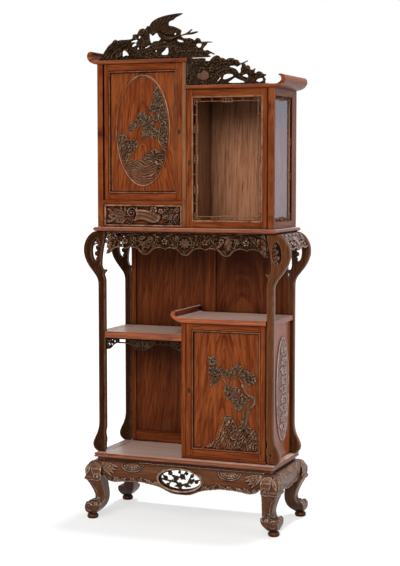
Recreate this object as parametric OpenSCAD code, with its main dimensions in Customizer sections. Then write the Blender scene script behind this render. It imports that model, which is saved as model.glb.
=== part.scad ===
// Carved display cabinet of polished red hardwood: two unequal cabinets on an open stage,
// a side cupboard, scroll-headed posts and a low base on four bracket legs.
// +X is to the right, -Y is the front, +Z is up, and the origin is on the floor under the middle.

/* [Cabinets] */
// Width of the two upper cabinets over their corner posts
body_w = 732; // [710:2:760]
// Depth of the upper cabinets over their corner posts
body_d = 274; // [262:2:296]
// Distance from the left side to the right face of the divider
left_w = 375; // [360:390]
// Thickness of the divider
divider_t = 14; // [13:18]
// Clear height of the drawer and the tall cupboard together
tall_h = 635; // [610:660]
// Clear height of the display cabinet
display_h = 531; // [500:556]
// Clear height of the drawer's place
drawer_h = 93; // [84:104]
// Thickness of the board between the drawer and the tall cupboard
deck_t = 13; // [11:16]
// Thickness of the top boards
top_t = 16; // [14:20]
// Overhang of the top boards at the front and the back
top_out = 5; // [3:8]
// Width of the corner posts, seen from the front
corner_w = 23; // [21:28]
// Depth of the corner posts, seen from the side
corner_d = 14; // [12:20]
// Thickness of the side frames
side_t = 18; // [16:20]
// Height of the side frames' rails
side_rail = 28; // [22:36]
// Width of the rear stile beside the side window
side_stile = 56; // [44:62]
// Thickness of the back boards
back_t = 10; // [8:12]
// Number of boards in each cabinet's back
back_boards = 3; // [2:4]

/* [Rolled ends] */
// How far the rolled ends reach out past the side
roll_out = 44; // [38:50]
// How far the rolled ends of the top boards rise above them
roll_up = 35; // [30:40]
// How far the rolled end of the cupboard's top rises
cup_roll_up = 27; // [22:32]

/* [Open stage] */
// Clear height from the base to the board that carries the cabinets
bay_h = 884; // [860:920]
// Thickness of the board that carries the cabinets
cornice_t = 16; // [14:20]
// Overhang of that board
cornice_out = 15; // [12:18]
// Width of a post
post_w = 30; // [28:34]
// Thickness of a post
post_t = 22; // [20:26]
// How far the posts stand out past the cabinets' sides
post_out = 2; // [0:5]
// Reach of a post's scroll head past its shaft
head_out = 64; // [58:70]
// Reach of a post's foot past its shaft
bulb_out = 27; // [22:32]
// Depth of the pierced friezes under the carrying board
frieze_h = 91; // [84:98]
// Thickness of the pierced friezes
frieze_t = 14; // [12:18]

/* [Shelf and cupboard] */
// Height of the left shelf's top above the base
shelf_h = 486; // [450:520]
// Thickness of the shelf
shelf_t = 25; // [22:28]
// Width of the shelf's front and back rails
shelf_rail = 30; // [26:40]
// Depth of the fret under the shelf at its ends
fret_h = 48; // [42:54]
// Distance from the left side to the cupboard's left wall
bay_w = 356; // [340:372]
// Thickness of the cupboard's left wall
wall_t = 17; // [15:20]
// Height of the cupboard's top above the base
cupboard_h = 552; // [532:580]
// Thickness of the cupboard's top
cup_top_t = 18; // [16:22]
// Height of the sill under the cupboard's door
sill_h = 12; // [10:16]
// Thickness of the carved panel in the cupboard's side
side_panel_t = 12; // [10:14]
// How far that panel lies back from the posts' outer faces
side_panel_in = 15; // [12:17]
// Half the height of the oval carving on it
medal_h = 200; // [180:215]
// Half the width of the oval carving on it
medal_w = 70; // [60:80]
// Width of the upright in the middle of the lower back
muntin_w = 47; // [40:54]

/* [Base] */
// How far the base's top reaches past the cabinets' sides
floor_out_x = 11; // [8:16]
// How far the base's top reaches past their front and back
floor_out_y = 25; // [20:32]
// Thickness of the base's top
floor_t = 18; // [16:22]
// Width of the front and back members of the base's top
floor_rail = 80; // [70:90]
// Width of the side members of the base's top
floor_side = 42; // [38:48]
// Height of the legs with their pads
leg_h = 246; // [238:264]
// How far knees and toes stand out past the base's top
leg_out = 30; // [26:34]
// Width of a leg's square block behind the edge of the base's top
leg_block = 42; // [40:46]
// Height of the recessed waist under the base's top
waist_h = 12; // [10:15]
// Depth of that recess
waist_in = 11; // [9:13]
// Height of the foot pads
pad_h = 20; // [18:22]
// Radius of the foot pads
pad_r = 23; // [21:25]
// Drop of the front apron at its middle
apron_drop = 109; // [104:114]
// Half the width of the oval opening in the front apron
oval_w = 88; // [80:94]
// Half the height of that opening
oval_h = 41; // [38:43]

/* [Doors and drawer] */
// Thickness of the doors
door_t = 20; // [18:22]
// How far the doors lie back from the front
door_in = 2; // [1:4]
// Gap around the doors and the drawer
door_gap = 1.2; // [1:0.1:1.6]
// Width of the doors' stiles
stile = 29; // [27:34]
// Height of the doors' rails
rail = 32; // [28:38]
// Thickness of the doors' panels
panel_t = 9; // [8:11]
// Thickness of the glass
glass_t = 3; // [3:0.5:4]
// Width of the bars of the window frets
bar = 4; // [3:0.5:5]
// Distance of the frets from the frames around them
fret_in = 13; // [11:16]
// Radius of the hinge pins
pin_r = 3; // [2.5:0.25:3.5]
// Depth to which a pin enters the door
pin_in = 14; // [12:18]
// Depth to which a pin enters the carcass
pin_out = 8; // [7:9]
// Throw of the lock bolts
bolt_throw = 7; // [5:8]
// Height of a lock bolt
bolt_h = 9; // [7:11]
// Height of the tall cupboard's keyhole above the carrying board
key_tall = 371; // [340:400]
// Height of the display cabinet's keyhole above the carrying board
key_display = 253; // [220:290]
// Height of the cupboard's keyhole above the base
key_cupboard = 270; // [240:300]
// Thickness of the drawer's front
front_t = 18; // [16:20]
// Thickness of the drawer's sides
drawer_side = 9; // [8:11]
// Length of the drawer behind its front
drawer_l = 205; // [190:212]

/* [Crest] */
// Thickness of the pierced crest
crest_t = 14; // [12:18]
// Distance of the crest from the front of the top boards
crest_in = 8; // [5:12]
// Height of the crest at the tip of the bird's raised wing
crest_h = 171; // [160:184]
// Height of the crest over the display cabinet
crest_low_h = 112; // [104:122]
// Length of the bird's body
bird_l = 96; // [90:102]

/* [Hidden] */
$fn = 32;

// Colours of the polished wood, the darker base, the near-black carving and the metal
wood = [0.50, 0.22, 0.13];
light = [0.58, 0.28, 0.17];
base = [0.33, 0.18, 0.11];
dark = [0.20, 0.14, 0.09];
brass = [0.72, 0.58, 0.30];
steel = [0.55, 0.55, 0.56];

// Clearance between pieces that are joined, and between a pin and its hole
seam = 0.2;
fit = 0.06;
// Clearance of a bolt in its lock
slack = 0.15;
// Depth of the grooves that hold panels and panes
groove = 7;
// Width and depth of the step around the inner edge of a frame
step_w = 8;
step_d = 3;
// Rounding steps of a moulded edge
arc_n = 5;

floor_w = body_w + 2 * floor_out_x;
floor_d = body_d + 2 * floor_out_y;
x_l = -body_w / 2;
x_r = body_w / 2;
y_f = -body_d / 2;
y_b = body_d / 2;
z_floor = leg_h + floor_t;
z_bay = z_floor + bay_h;
z_cab = z_bay + cornice_t;
z_deck = z_cab + drawer_h;
z_cupfloor = z_deck + deck_t;
z_tall = z_cab + tall_h;
z_tall_roof = z_tall + top_t;
z_display = z_cab + display_h;
z_display_roof = z_display + top_t;
x_div1 = x_l + left_w;
x_div0 = x_div1 - divider_t;
z_shelf = z_floor + shelf_h;
z_cup = z_floor + cupboard_h;
z_cup0 = z_cup - cup_top_t;
x_wall0 = x_l + bay_w;
x_wall1 = x_wall0 + wall_t;
x_post1 = x_r + post_out;
x_post0 = x_post1 - post_w;
y_post = y_f + post_t;
y_door = y_f + door_in;
apron_z = leg_h - waist_h;
span_x = floor_w / 2 - leg_block - seam;
span_y = floor_d / 2 - leg_block - seam;
y_back0 = y_b - post_t + 3;
pad_at = leg_out - 25;

// Curves: a Catmull-Rom curve through points p, open or closed, with n steps a stretch
function blend4(a, b, c, d, t) = 0.5 * (2 * b + (c - a) * t
    + (2 * a - 5 * b + 4 * c - d) * t * t + (3 * b - a - 3 * c + d) * t * t * t);
function curve(p, n = 3) = [
    for (i = [0 : len(p) - 2], k = [0 : n - 1])
        blend4(p[max(i - 1, 0)], p[i], p[i + 1], p[min(i + 2, len(p) - 1)], k / n),
    p[len(p) - 1]
];
function closed(p, n = 3) = let (m = len(p)) [
    for (i = [0 : m - 1], k = [0 : n - 1])
        blend4(p[(i + m - 1) % m], p[i], p[(i + 1) % m], p[(i + 2) % m], k / n)
];
function flip(p) = [for (i = [len(p) - 1 : -1 : 0]) [-p[i][0], p[i][1]]];
function shift(p, v) = [for (q = p) q + v];
function fitted(p, k) = [for (q = p) [q[0] * k[0], q[1] * k[1]]];
// An outline that runs clockwise, moved outwards by d
function grown(p, d) = let (m = len(p)) [
    for (i = [0 : m - 1]) let (v = p[(i + 1) % m] - p[(i + m - 1) % m]) p[i] + d * [-v[1], v[0]] / norm(v)
];
function ellipse(a, b, n = 48) = [for (i = [0 : n - 1]) [a * cos(360 * i / n), b * sin(360 * i / n)]];
// A rosette or a clump of leaves: a round outline with lobes
function lobed(r, lobes, depth, n) = [
    for (i = [0 : n - 1]) let (a = 360 * i / n) r * (1 + depth * cos(lobes * a)) * [cos(a), sin(a)]
];
// A twig of tapering width from w0 to w1 along the curve c
function normal_at(c, i) = let (d = c[min(i + 1, len(c) - 1)] - c[max(i - 1, 0)]) [-d[1], d[0]] / norm(d);
function width_at(c, i, w0, w1) = (w0 + (w1 - w0) * i / (len(c) - 1)) / 2;
function twig(p, w0, w1) = let (c = curve(p, 3), m = len(c)) concat(
    [for (i = [0 : m - 1]) c[i] + normal_at(c, i) * width_at(c, i, w0, w1)],
    [for (i = [m - 1 : -1 : 0]) c[i] - normal_at(c, i) * width_at(c, i, w0, w1)]
);

// Extrusions of an outline drawn in X and Z along Y, and of one drawn in Y and Z along X
module upright(y0, t) translate([0, y0 + t, 0]) rotate([90, 0, 0]) linear_extrude(t) children();
module sideways(x0, t) translate([x0, 0, 0]) rotate([90, 0, 90]) linear_extrude(t) children();
module box(a, b) translate(a) cube(b - a);
// The right half as given and its mirror image on the left
module both_sides() {
    children();
    mirror([1, 0, 0]) children();
}

// Moulded boards: half outlines from bottom to top, at distance w from the middle
function rolls(w, z0, t, n) = let (r = t / (2 * n)) [
    for (k = [0 : n - 1], i = [0 : arc_n])
        [w - r + r * sin(180 * i / arc_n), z0 + r * (2 * k + 1) - r * cos(180 * i / arc_n)]
];
function whole(half) = concat(half, flip(half));
// A board with the same moulded edge on its four sides, mitred at the corners
module moulded(hx, hy, z0, t, n) intersection() {
    upright(-hy, 2 * hy) polygon(whole(rolls(hx, z0, t, n)));
    sideways(-hx, 2 * hx) polygon(whole(rolls(hy, z0, t, n)));
}

// Legs: each is sawn to the same outline from the front and from the side
function leg_outline() = concat(
    [[-leg_block, leg_h], [-waist_in, leg_h], [-waist_in, apron_z]],
    curve([
        [leg_out - 29, apron_z - 1], [leg_out - 17, apron_z - 7], [leg_out - 10, apron_z - 19],
        [leg_out - 3, apron_z - 31], [leg_out - 2, apron_z - 42], [leg_out - 4, apron_z - 58],
        [leg_out, apron_z - 66], [leg_out - 1, apron_z - 71], [leg_out - 7, apron_z - 78],
        [leg_out - 21, 126], [leg_out - 28, 107], [leg_out - 32, 90], [leg_out - 30, 72],
        [leg_out - 24, 63], [leg_out - 12, 69], [leg_out - 3, 61], [leg_out, 46],
        [leg_out - 3, 30], [leg_out - 11, pad_h]
    ]),
    curve([
        [leg_out - 40, pad_h], [leg_out - 52, 30], [leg_out - 66, 46], [leg_out - 75, 70],
        [leg_out - 77, 98], [leg_out - 74, 128], [-leg_block, apron_z - 86]
    ])
);
module leg(sx, sy) color(base) mirror([1 - sx, 0, 0]) mirror([0, 1 + sy, 0]) intersection() {
    translate([floor_w / 2, 0, 0]) upright(-floor_d, floor_d) polygon(leg_outline());
    translate([0, -floor_d / 2, 0]) sideways(0, floor_w) mirror([1, 0]) polygon(leg_outline());
}
module leg_front_left() leg(0, -1);
module leg_front_right() leg(1, -1);
module leg_back_left() leg(0, 0);
module leg_back_right() leg(1, 0);

module foot_pads() color(dark)
    for (sx = [-1, 1], sy = [-1, 1])
        translate([sx * (floor_w / 2 + pad_at), sy * (floor_d / 2 + pad_at), 0])
            rotate_extrude() polygon([
                [0, 0], [pad_r - 4, 0], [pad_r - 1, pad_h * 0.2], [pad_r, pad_h * 0.45],
                [pad_r - 2, pad_h * 0.75], [pad_r - 8, pad_h], [0, pad_h]
            ]);

// Aprons: the swelling outline of their outer face, w outwards from the edge of the base's top
function apron_section() = concat(
    curve([
        [1, apron_z], [9, apron_z - 5], [16, apron_z - 15], [20, apron_z - 30],
        [19, apron_z - 46], [14, apron_z - 63], [9, apron_z - 82], [6, apron_z - 115]
    ]),
    [[-10, apron_z - 115], [-10, apron_z]]
);
// Lower edge of the front apron, from its middle to the leg
function apron_edge() = curve([
    for (q = [[0, 0], [0.11, 2], [0.2, 14], [0.27, 23], [0.36, 29], [0.5, 36], [0.64, 35],
              [0.75, 32], [0.83, 27], [0.9, 30], [0.945, 37], [0.965, 46], [1, 50]])
        [q[0] * span_x, apron_z - apron_drop + q[1]]
], 2);
function apron_side_edge() = curve([
    for (q = [[0, 84], [0.25, 81], [0.45, 74], [0.62, 76], [0.82, 72], [0.94, 62], [1, 60]])
        [q[0] * span_y, apron_z - q[1]]
], 2);
function under(edge, s) = concat(edge, [[s, apron_z], [-s, apron_z]], flip(edge));
oval_rim = 6;
oval_z = apron_z - oval_h - oval_rim - 1;
module apron_front() color(base) difference() {
    union() {
        intersection() {
            translate([0, -floor_d / 2, 0]) sideways(-span_x, 2 * span_x) mirror([1, 0])
                polygon(apron_section());
            upright(-floor_d, floor_d) polygon(under(apron_edge(), span_x));
        }
        translate([0, 0, oval_z]) upright(-floor_d / 2 - 22, 32)
            polygon(ellipse(oval_w + oval_rim, oval_h + oval_rim));
    }
    translate([0, 0, oval_z]) upright(-floor_d / 2 - 30, 60) polygon(ellipse(oval_w, oval_h));
}
// The flowering spray that fills the oval, with its thin rim
module apron_spray() color(dark) translate([0, 0, oval_z]) {
    a = oval_w - seam;
    b = oval_h - seam;
    upright(-floor_d / 2 - 12, 8) difference() {
        polygon(ellipse(a, b));
        polygon(ellipse(a - 4, b - 4));
    }
    upright(-floor_d / 2 - 14, 10) intersection() {
        polygon(ellipse(a, b));
        union() {
            for (q = [
                [[[-0.93, -0.05], [-0.55, -0.2], [-0.2, -0.3], [0, -0.93]], 5, 8],
                [[[-0.3, -0.25], [-0.1, 0.2], [0.1, 0.4], [0.3, 0.9]], 7, 4],
                [[[0, -0.6], [0.3, -0.35], [0.6, -0.05], [0.93, 0.1]], 8, 4],
                [[[0.35, -0.3], [0.45, 0.2], [0.62, 0.66]], 6, 4],
                [[[-0.22, 0], [-0.5, 0.5], [-0.62, 0.72]], 5, 4],
                [[[-0.4, -0.1], [-0.6, -0.55], [-0.68, -0.68]], 5, 4]
            ]) polygon(twig(fitted(q[0], [a, b]), q[1], q[2]));
            for (q = [[-0.72, 0.05, 9], [-0.5, 0.55, 9], [-0.62, -0.6, 8], [-0.22, 0.1, 11],
                      [0.08, 0.3, 12], [-0.05, -0.55, 11], [0.28, -0.5, 9], [0.5, -0.12, 10],
                      [0.76, -0.1, 8], [0.55, 0.45, 8]])
                translate([q[0] * a, q[1] * b]) polygon(lobed(q[2], 5, 0.14, 20));
        }
    }
}
module apron_back() color(base) translate([0, floor_d / 2 - 10, 0]) upright(0, 18)
    polygon(concat([[-span_x, apron_z], [-span_x, apron_z - 70]],
        curve([[-span_x * 0.8, apron_z - 66], [-span_x * 0.7, apron_z - 50], [0, apron_z - 46],
               [span_x * 0.7, apron_z - 50], [span_x * 0.8, apron_z - 66]]),
        [[span_x, apron_z - 70], [span_x, apron_z]]));
module apron_sides() color(base) both_sides() intersection() {
    translate([floor_w / 2, 0, 0]) upright(-span_y, 2 * span_y) polygon(apron_section());
    sideways(0, floor_w) polygon(under(apron_side_edge(), span_y));
}
waist_t = 18;
module waist_rails() color(base) {
    for (s = [-1, 1]) {
        translate([0, s * (floor_d / 2 - waist_in - waist_t / 2), apron_z + waist_h / 2])
            cube([2 * span_x, waist_t, waist_h], center = true);
        translate([s * (floor_w / 2 - waist_in - waist_t / 2), 0, apron_z + waist_h / 2])
            cube([waist_t, 2 * span_y, waist_h], center = true);
    }
}

// Base top: two long members between which the side members and the panel are held
module floor_block() moulded(floor_w / 2, floor_d / 2, leg_h, floor_t, 2);
floor_x = floor_w / 2 - floor_side;
floor_y = floor_d / 2 - floor_rail;
module floor_frame() color(wood) difference() {
    for (s = [-1, 1]) {
        intersection() {
            floor_block();
            translate([0, s * (floor_y + floor_rail / 2 + 1), z_floor])
                cube([2 * floor_w, floor_rail + 2, 4 * floor_t], center = true);
        }
        intersection() {
            floor_block();
            translate([s * (floor_x + floor_side / 2 + 1), 0, z_floor])
                cube([floor_side + 2, 2 * floor_y - 2 * seam, 4 * floor_t], center = true);
        }
    }
    translate([0, 0, leg_h + floor_t / 2])
        cube([2 * (floor_x + groove), 2 * (floor_y + groove), panel_t / 2], center = true);
}
module floor_panel() color(light) {
    box([-floor_x - groove + seam, -floor_y - groove + seam, leg_h + floor_t / 2 - panel_t / 4 + seam],
        [floor_x + groove - seam, floor_y + groove - seam, leg_h + floor_t / 2 + panel_t / 4 - seam]);
    box([-floor_x + 2.5, -floor_y + seam, leg_h + 3], [floor_x - 2.5, floor_y - seam, z_floor]);
}

// Posts: outline in X from the shaft's inner face and in Z from the floor, for the right side
head = bay_h;
function post_outline(tip) = let (o = head_out / 64, f = bulb_out / 27, w = post_w) concat(
    [[0, head]],
    curve([
        [w, head], [w + 24 * o, head - 5], [w + 46 * o, head - 24], [w + 59 * o, head - 48],
        [w + 64 * o, head - 74], [w + 61 * o, head - 98], [w + 52 * o, head - 122],
        [w + 38 * o, head - 144], [w + 22 * o, head - 164], [w + 9 * o, head - 181],
        [w + 2, head - 198], [w, head - 220]
    ]),
    curve([
        [w, 122], [w + 2 * f, 100], [w + 9 * f, 76], [w + 20 * f, 53], [w + 27 * f, 34],
        [w + 24 * f, 15], [w + 12 * f, 3], [w + 6 * f, 0]
    ]),
    curve([[9, 0], [3, 10], [2, 30], [0, 52], [4, 76], [0, 98]]),
    curve([
        [0, head - 212], [1, head - 190], [6, head - 172], [tip, head - 158], [tip + 1, head - 153],
        [12, head - 152], [17, head - 138], [16, head - 108], [12, head - 80], [7, head - 54],
        [2, head - 28], [0, head - 10]
    ])
);
function head_hole() = let (o = head_out / 64) shift(closed([
    for (q = [[4, 46], [16, 36], [25, 14], [27, -8], [23, -30], [12, -42], [2, -34], [-6, -16],
              [-8, 12], [-3, 34]])
        [q[0] * o, q[1]]
]), [post_w + o, head - 77]);
// The curled leaf inside the pierced head
function head_leaf() = let (o = head_out / 64) shift(closed([
    for (q = [[-12, 40], [2, 42], [4, 30], [-2, 22], [8, 18], [10, 6], [4, -2], [14, -8], [13, -20],
              [5, -24], [10, -34], [4, -44], [-6, -40], [-12, -10]])
        [q[0] * o, q[1]]
], 2), [post_w + o, head - 77]);
module post(sx, sy) color(base) mirror([1 - sx, 0, 0]) mirror([0, 1 + sy, 0])
    translate([x_post0, 0, z_floor]) difference() {
        union() {
            upright(y_f, post_t) difference() {
                polygon(post_outline(sy < 0 ? -4 : 1));
                polygon(head_hole());
            }
            upright(y_f + 4, post_t - 8) polygon(head_leaf());
        }
        translate([post_w / 2 + 4, y_f - 1, 38]) rotate([-90, 0, 0]) cylinder(r = 5.5, h = 4);
    }
module post_front_left() post(0, -1);
module post_front_right() post(1, -1);
module post_back_left() post(0, 0);
module post_back_right() post(1, 0);

// Lower back, held between the back posts and reaching from the base to the carrying board
back_x = x_post0 - seam;
back_stile = 20;
back_rail = 46;
back_frame_t = 16;
muntin_x = (x_wall0 + x_wall1) / 2 + 13;
module lower_back_frame() color(wood) difference() {
    union() {
        for (x = [-back_x, back_x - back_stile]) box([x, y_back0, z_floor + seam],
            [x + back_stile, y_back0 + back_frame_t, z_bay - seam]);
        box([muntin_x - muntin_w / 2, y_back0, z_floor + back_rail + seam],
            [muntin_x + muntin_w / 2, y_back0 + back_frame_t, z_bay - back_rail - seam]);
        for (z = [z_floor + seam, z_bay - back_rail]) box([-back_x + back_stile + seam, y_back0, z],
            [back_x - back_stile - seam, y_back0 + back_frame_t, z + back_rail - seam]);
    }
    box([-back_x + back_stile - groove, y_back0 + 4, z_floor + back_rail - groove],
        [back_x - back_stile + groove, y_back0 + 4 + panel_t, z_bay - back_rail + groove]);
}
module lower_back_panels() color(wood) for (s = [-1, 1]) {
    x0 = s < 0 ? -back_x + back_stile - groove + seam : muntin_x + seam;
    x1 = s < 0 ? muntin_x - seam : back_x - back_stile + groove - seam;
    box([x0, y_back0 + 4 + seam, z_floor + back_rail - groove + seam],
        [x1, y_back0 + 4 + panel_t - seam, z_bay - back_rail + groove - seam]);
}

// Left shelf, notched around the posts
shelf_x0 = -x_post1 + post_out;
shelf_x1 = x_wall0 - seam;
shelf_z0 = z_shelf - shelf_t;
shelf_side = 36;
shelf_y1 = y_back0 - seam;
module shelf_frame() color(wood) difference() {
    union() {
        box([-x_post0 + seam, y_f, shelf_z0], [shelf_x1, y_f + shelf_rail, z_shelf]);
        box([-x_post0 + seam, shelf_y1 - shelf_rail, shelf_z0], [shelf_x1, shelf_y1, z_shelf]);
        difference() {
            box([shelf_x0, y_post + seam, shelf_z0], [shelf_x0 + shelf_side, -y_post - seam, z_shelf]);
            box([-x_post0, y_f, shelf_z0 - 1], [x_r, y_f + shelf_rail + seam, z_shelf + 1]);
            box([-x_post0, shelf_y1 - shelf_rail - seam, shelf_z0 - 1], [x_r, y_b, z_shelf + 1]);
        }
        box([shelf_x1 - shelf_side, y_f + shelf_rail + seam, shelf_z0],
            [shelf_x1, shelf_y1 - shelf_rail - seam, z_shelf]);
    }
    box([shelf_x0 + shelf_side - groove, y_f + shelf_rail - groove, z_shelf - 14],
        [shelf_x1 - shelf_side + groove, shelf_y1 - shelf_rail + groove, z_shelf - 8]);
}
module shelf_panel() color(light) {
    box([shelf_x0 + shelf_side - groove + seam, y_f + shelf_rail - groove + seam, z_shelf - 14 + seam],
        [shelf_x1 - shelf_side + groove - seam, shelf_y1 - shelf_rail + groove - seam, z_shelf - 8 - seam]);
    box([shelf_x0 + shelf_side + 2.5, y_f + shelf_rail + seam, z_shelf - 9],
        [shelf_x1 - shelf_side - 2.5, shelf_y1 - shelf_rail - seam, z_shelf]);
}
// Pierced fret under the shelf: a thin rail with end brackets and a middle cartouche
module shelf_fret() color(dark) {
    x0 = -x_post0 + seam;
    w = shelf_x1 - x0;
    translate([x0, 0, shelf_z0 - seam]) upright(y_f + 8, 10) difference() {
        polygon(concat(
            [[0, 0]],
            curve([[0, -fret_h], [w * 0.05, -fret_h + 3], [w * 0.1, -fret_h * 0.6],
                   [w * 0.14, -fret_h * 0.46]]),
            [[w * 0.3, -fret_h * 0.46]],
            curve([[w * 0.35, -fret_h * 0.6], [w * 0.41, -fret_h * 0.92], [w * 0.48, -fret_h * 0.98],
                   [w * 0.55, -fret_h * 0.86], [w * 0.61, -fret_h * 0.55]]),
            [[w * 0.65, -fret_h * 0.46], [w * 0.84, -fret_h * 0.46]],
            curve([[w * 0.88, -fret_h * 0.6], [w * 0.93, -fret_h * 0.75], [w, -fret_h]]),
            [[w, 0]]));
        for (q = [[0.17, 0.3], [0.66, 0.71], [0.73, 0.78], [0.8, 0.84]])
            translate([w * q[0], -fret_h * 0.34]) square([w * (q[1] - q[0]), fret_h * 0.22]);
        for (q = [[0.035, -0.3, 4.5], [0.075, -0.28, 4], [0.035, -0.58, 4.5], [0.075, -0.55, 3.5],
                  [0.965, -0.3, 4.5], [0.93, -0.3, 4], [0.96, -0.58, 4],
                  [0.4, -0.42, 5], [0.48, -0.35, 4], [0.48, -0.68, 5], [0.56, -0.42, 5]])
            translate([w * q[0], fret_h * q[1]]) circle(r = q[2]);
    }
}

// Cupboard: left wall, sill, carved side and the top with its rolled end
module cupboard_wall() color(wood) difference() {
    box([x_wall0, y_f, z_floor], [x_wall1, y_back0 - seam, z_cup0]);
    bolt_mortise(x_wall1, -1, z_floor + key_cupboard);
}
module cupboard_sill() color(wood) difference() {
    box([x_wall1 + seam, y_f + 1, z_floor], [x_post0 - seam, y_f + door_t + 4, z_floor + sill_h]);
    pin_hole(x_cup_hinge, z_floor + sill_h, -1);
}
side_x1 = x_post1 - side_panel_in;
module cupboard_side() color(wood) {
    z_mid = (z_floor + z_cup0) / 2 + 6;
    box([side_x1 - side_panel_t, y_post + seam, z_floor], [side_x1, -y_post - seam, z_cup0]);
    translate([0, 0, z_mid]) {
        sideways(side_x1 - 1, 9) polygon(ellipse(medal_w, medal_h));
        sideways(side_x1 - 1, 12) difference() {
            polygon(ellipse(medal_w, medal_h));
            polygon(ellipse(medal_w - 6, medal_h - 7));
        }
        for (k = [-4 : 4]) translate([side_x1, 0, 0])
            sideways(0, 11) translate([(k % 2 == 0 ? 1 : -1) * medal_w * 0.22, k * medal_h * 0.185])
                polygon(lobed(15, 6, 0.14, 24));
    }
}
// Outline of a rolled end: from the board's top, up round the roll and back to its underside
function rolled(out, up, t) = [
    for (q = concat(curve([[-16, 0], [6, 0], [19, 5], [27, 14], [25, 26], [17, 30]]),
                    [[18, 34]],
                    curve([[25, 35], [38, 31], [44, 15], [37, 0], [18, -11], [0, -16]])))
        [q[0] * out / 44, q[1] > 0 ? q[1] * up / 35 : q[1] * t / 16]
];
module cupboard_top() color(wood) difference() {
    upright(y_f - 4, y_back0 - seam - y_f + 4) polygon(concat(
        [[x_r - 2, z_cup], [x_r - 2, z_cup0]],
        shift(flip(rolled(roll_out, cup_roll_up, cup_top_t)), [x_wall0, z_cup])));
    for (y = [y_f - 5, -y_post - seam])
        box([x_post0 - seam, y, z_cup0 - 1], [x_post1 + 9, y + post_t + 5 + seam, z_cup + 1]);
    pin_hole(x_cup_hinge, z_cup0, 1);
}

// Friezes under the carrying board
// Half a scallop, from the middle of a lobe to the middle of the next hollow
scallop = curve([[0, 1], [0.12, 0.985], [0.22, 0.92], [0.32, 0.82], [0.45, 0.74], [0.62, 0.7], [0.82, 0.7],
                 [0.93, 0.73], [1, 0.77]], 2);
function frieze_edge() = let (q = (x_post0 - seam) / 4, m = len(scallop) - 1) concat(
    [for (k = [-4 : 3], j = [0 : m - 1]) let (odd = k % 2 != 0, f = scallop[odd ? m - j : j])
        [(k + (odd ? 1 - f[0] : f[0])) * q, -frieze_h * f[1]]],
    [[4 * q, -frieze_h]]
);
module frieze_front() color(dark) translate([0, 0, z_bay - seam]) {
    h = x_post0 - seam;
    e = frieze_edge();
    upright(y_f + 8, frieze_t) difference() {
        polygon(concat(e, [[h, 0], [-h, 0]]));
        for (k = [-2 : 2], s = [-1, 1]) translate([k * h / 2, 0]) {
            if (abs(k + s / 2) < 2.1) {
                translate([s * h * 0.07, -frieze_h * 0.2]) polygon(lobed(8, 3, 0.2, 18));
                translate([s * h * 0.09, -frieze_h * 0.56]) polygon(lobed(8, 4, 0.15, 20));
                translate([s * h * 0.15, -frieze_h * 0.33]) polygon(lobed(7, 3, 0.2, 18));
                translate([s * h * 0.2, -frieze_h * 0.58]) polygon(lobed(6.5, 3, 0.2, 18));
                translate([s * h * 0.222, -frieze_h * 0.2]) polygon(lobed(6.5, 4, 0.15, 20));
            }
        }
    }
    upright(y_f + 5, 4) polygon(concat(e, [for (i = [len(e) - 1 : -1 : 0]) e[i] + [0, 6]]));
    for (k = [-1 : 1]) translate([k * h / 2, 0]) upright(y_f + 3, 6)
        translate([0, -frieze_h * 0.44]) polygon(lobed(17, 6, 0.14, 30));
    for (k = [-1, 1], q = [-1, 1]) translate([k * h / 2 + q * h / 4, 0]) upright(y_f + 5, 4)
        translate([0, -frieze_h * 0.36]) polygon(lobed(9, 5, 0.16, 25));
}
// Curved side friezes, which follow the scroll heads from post to post
function side_arc(d) = let (o = head_out / 64, w = post_w) [
    for (q = curve([[w - 4, -1], [w + 23 * o, -6], [w + 44 * o, -25], [w + 57 * o, -49],
                    [w + 60 * o, -58]]))
        q - [d * 0.5 * (q[0] / w), d * (0.9 - 0.5 * (q[0] - w) / (60 * o))]
];
module frieze_sides() color(dark) both_sides() translate([x_post0, 0, z_bay]) {
    y1 = -y_post - seam;
    difference() {
        upright(-y1, 2 * y1) polygon(concat(side_arc(0), [for (q = flip(side_arc(11))) [-q[0], q[1]]]));
        for (k = [-3 : 3]) translate([0, k * y1 * 0.27, 0]) {
            translate([post_w * 0.8, 0, -42]) rotate([0, 40, 0]) cylinder(r = 5.5, h = 120, center = true);
            if (abs(k) < 3) translate([post_w * 1.6, y1 * 0.135, -42]) rotate([0, 58, 0])
                cylinder(r = 5, h = 90, center = true);
        }
    }
}
module carrying_board() color(wood) difference() {
    moulded(body_w / 2 + cornice_out, body_d / 2 + cornice_out, z_bay, cornice_t, 1);
    pin_hole(x_glazed_hinge, z_cab, -1);
}

// Framed sides of the upper cabinets, built on the right: front post, rear stile and two rails
module side_frame(height, stile_y, rebate) {
    y1 = y_b - seam;
    difference() {
        union() {
            box([x_r - corner_w, y_f, z_cab], [x_r, y_f + corner_d, z_cab + height]);
            box([x_r - side_t, y_b - stile_y, z_cab], [x_r, y1, z_cab + height]);
            for (z = [z_cab, z_cab + height - side_rail])
                box([x_r - side_t, y_f + corner_d + seam, z], [x_r, y_b - stile_y - seam, z + side_rail]);
        }
        box([x_r - side_t + 5, y_f + corner_d - groove, z_cab + side_rail - groove],
            [x_r - side_t + 5 + rebate, y_b - stile_y + groove, z_cab + height - side_rail + groove]);
    }
}
module side_infill(height, stile_y, t, x0)
    box([x0, y_f + corner_d - groove + seam, z_cab + side_rail - groove + seam],
        [x0 + t, y_b - stile_y + groove - seam, z_cab + height - side_rail + groove - seam]);
tall_stile = 40;
module tall_side_frame() color(wood) mirror([1, 0, 0]) side_frame(tall_h, tall_stile, panel_t + seam);
module tall_side_panel() color(wood) mirror([1, 0, 0])
    side_infill(tall_h, tall_stile, panel_t - seam, x_r - side_t + 5 + seam);
module display_side_frame() color(wood) side_frame(display_h, side_stile, glass_t + seam);
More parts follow.
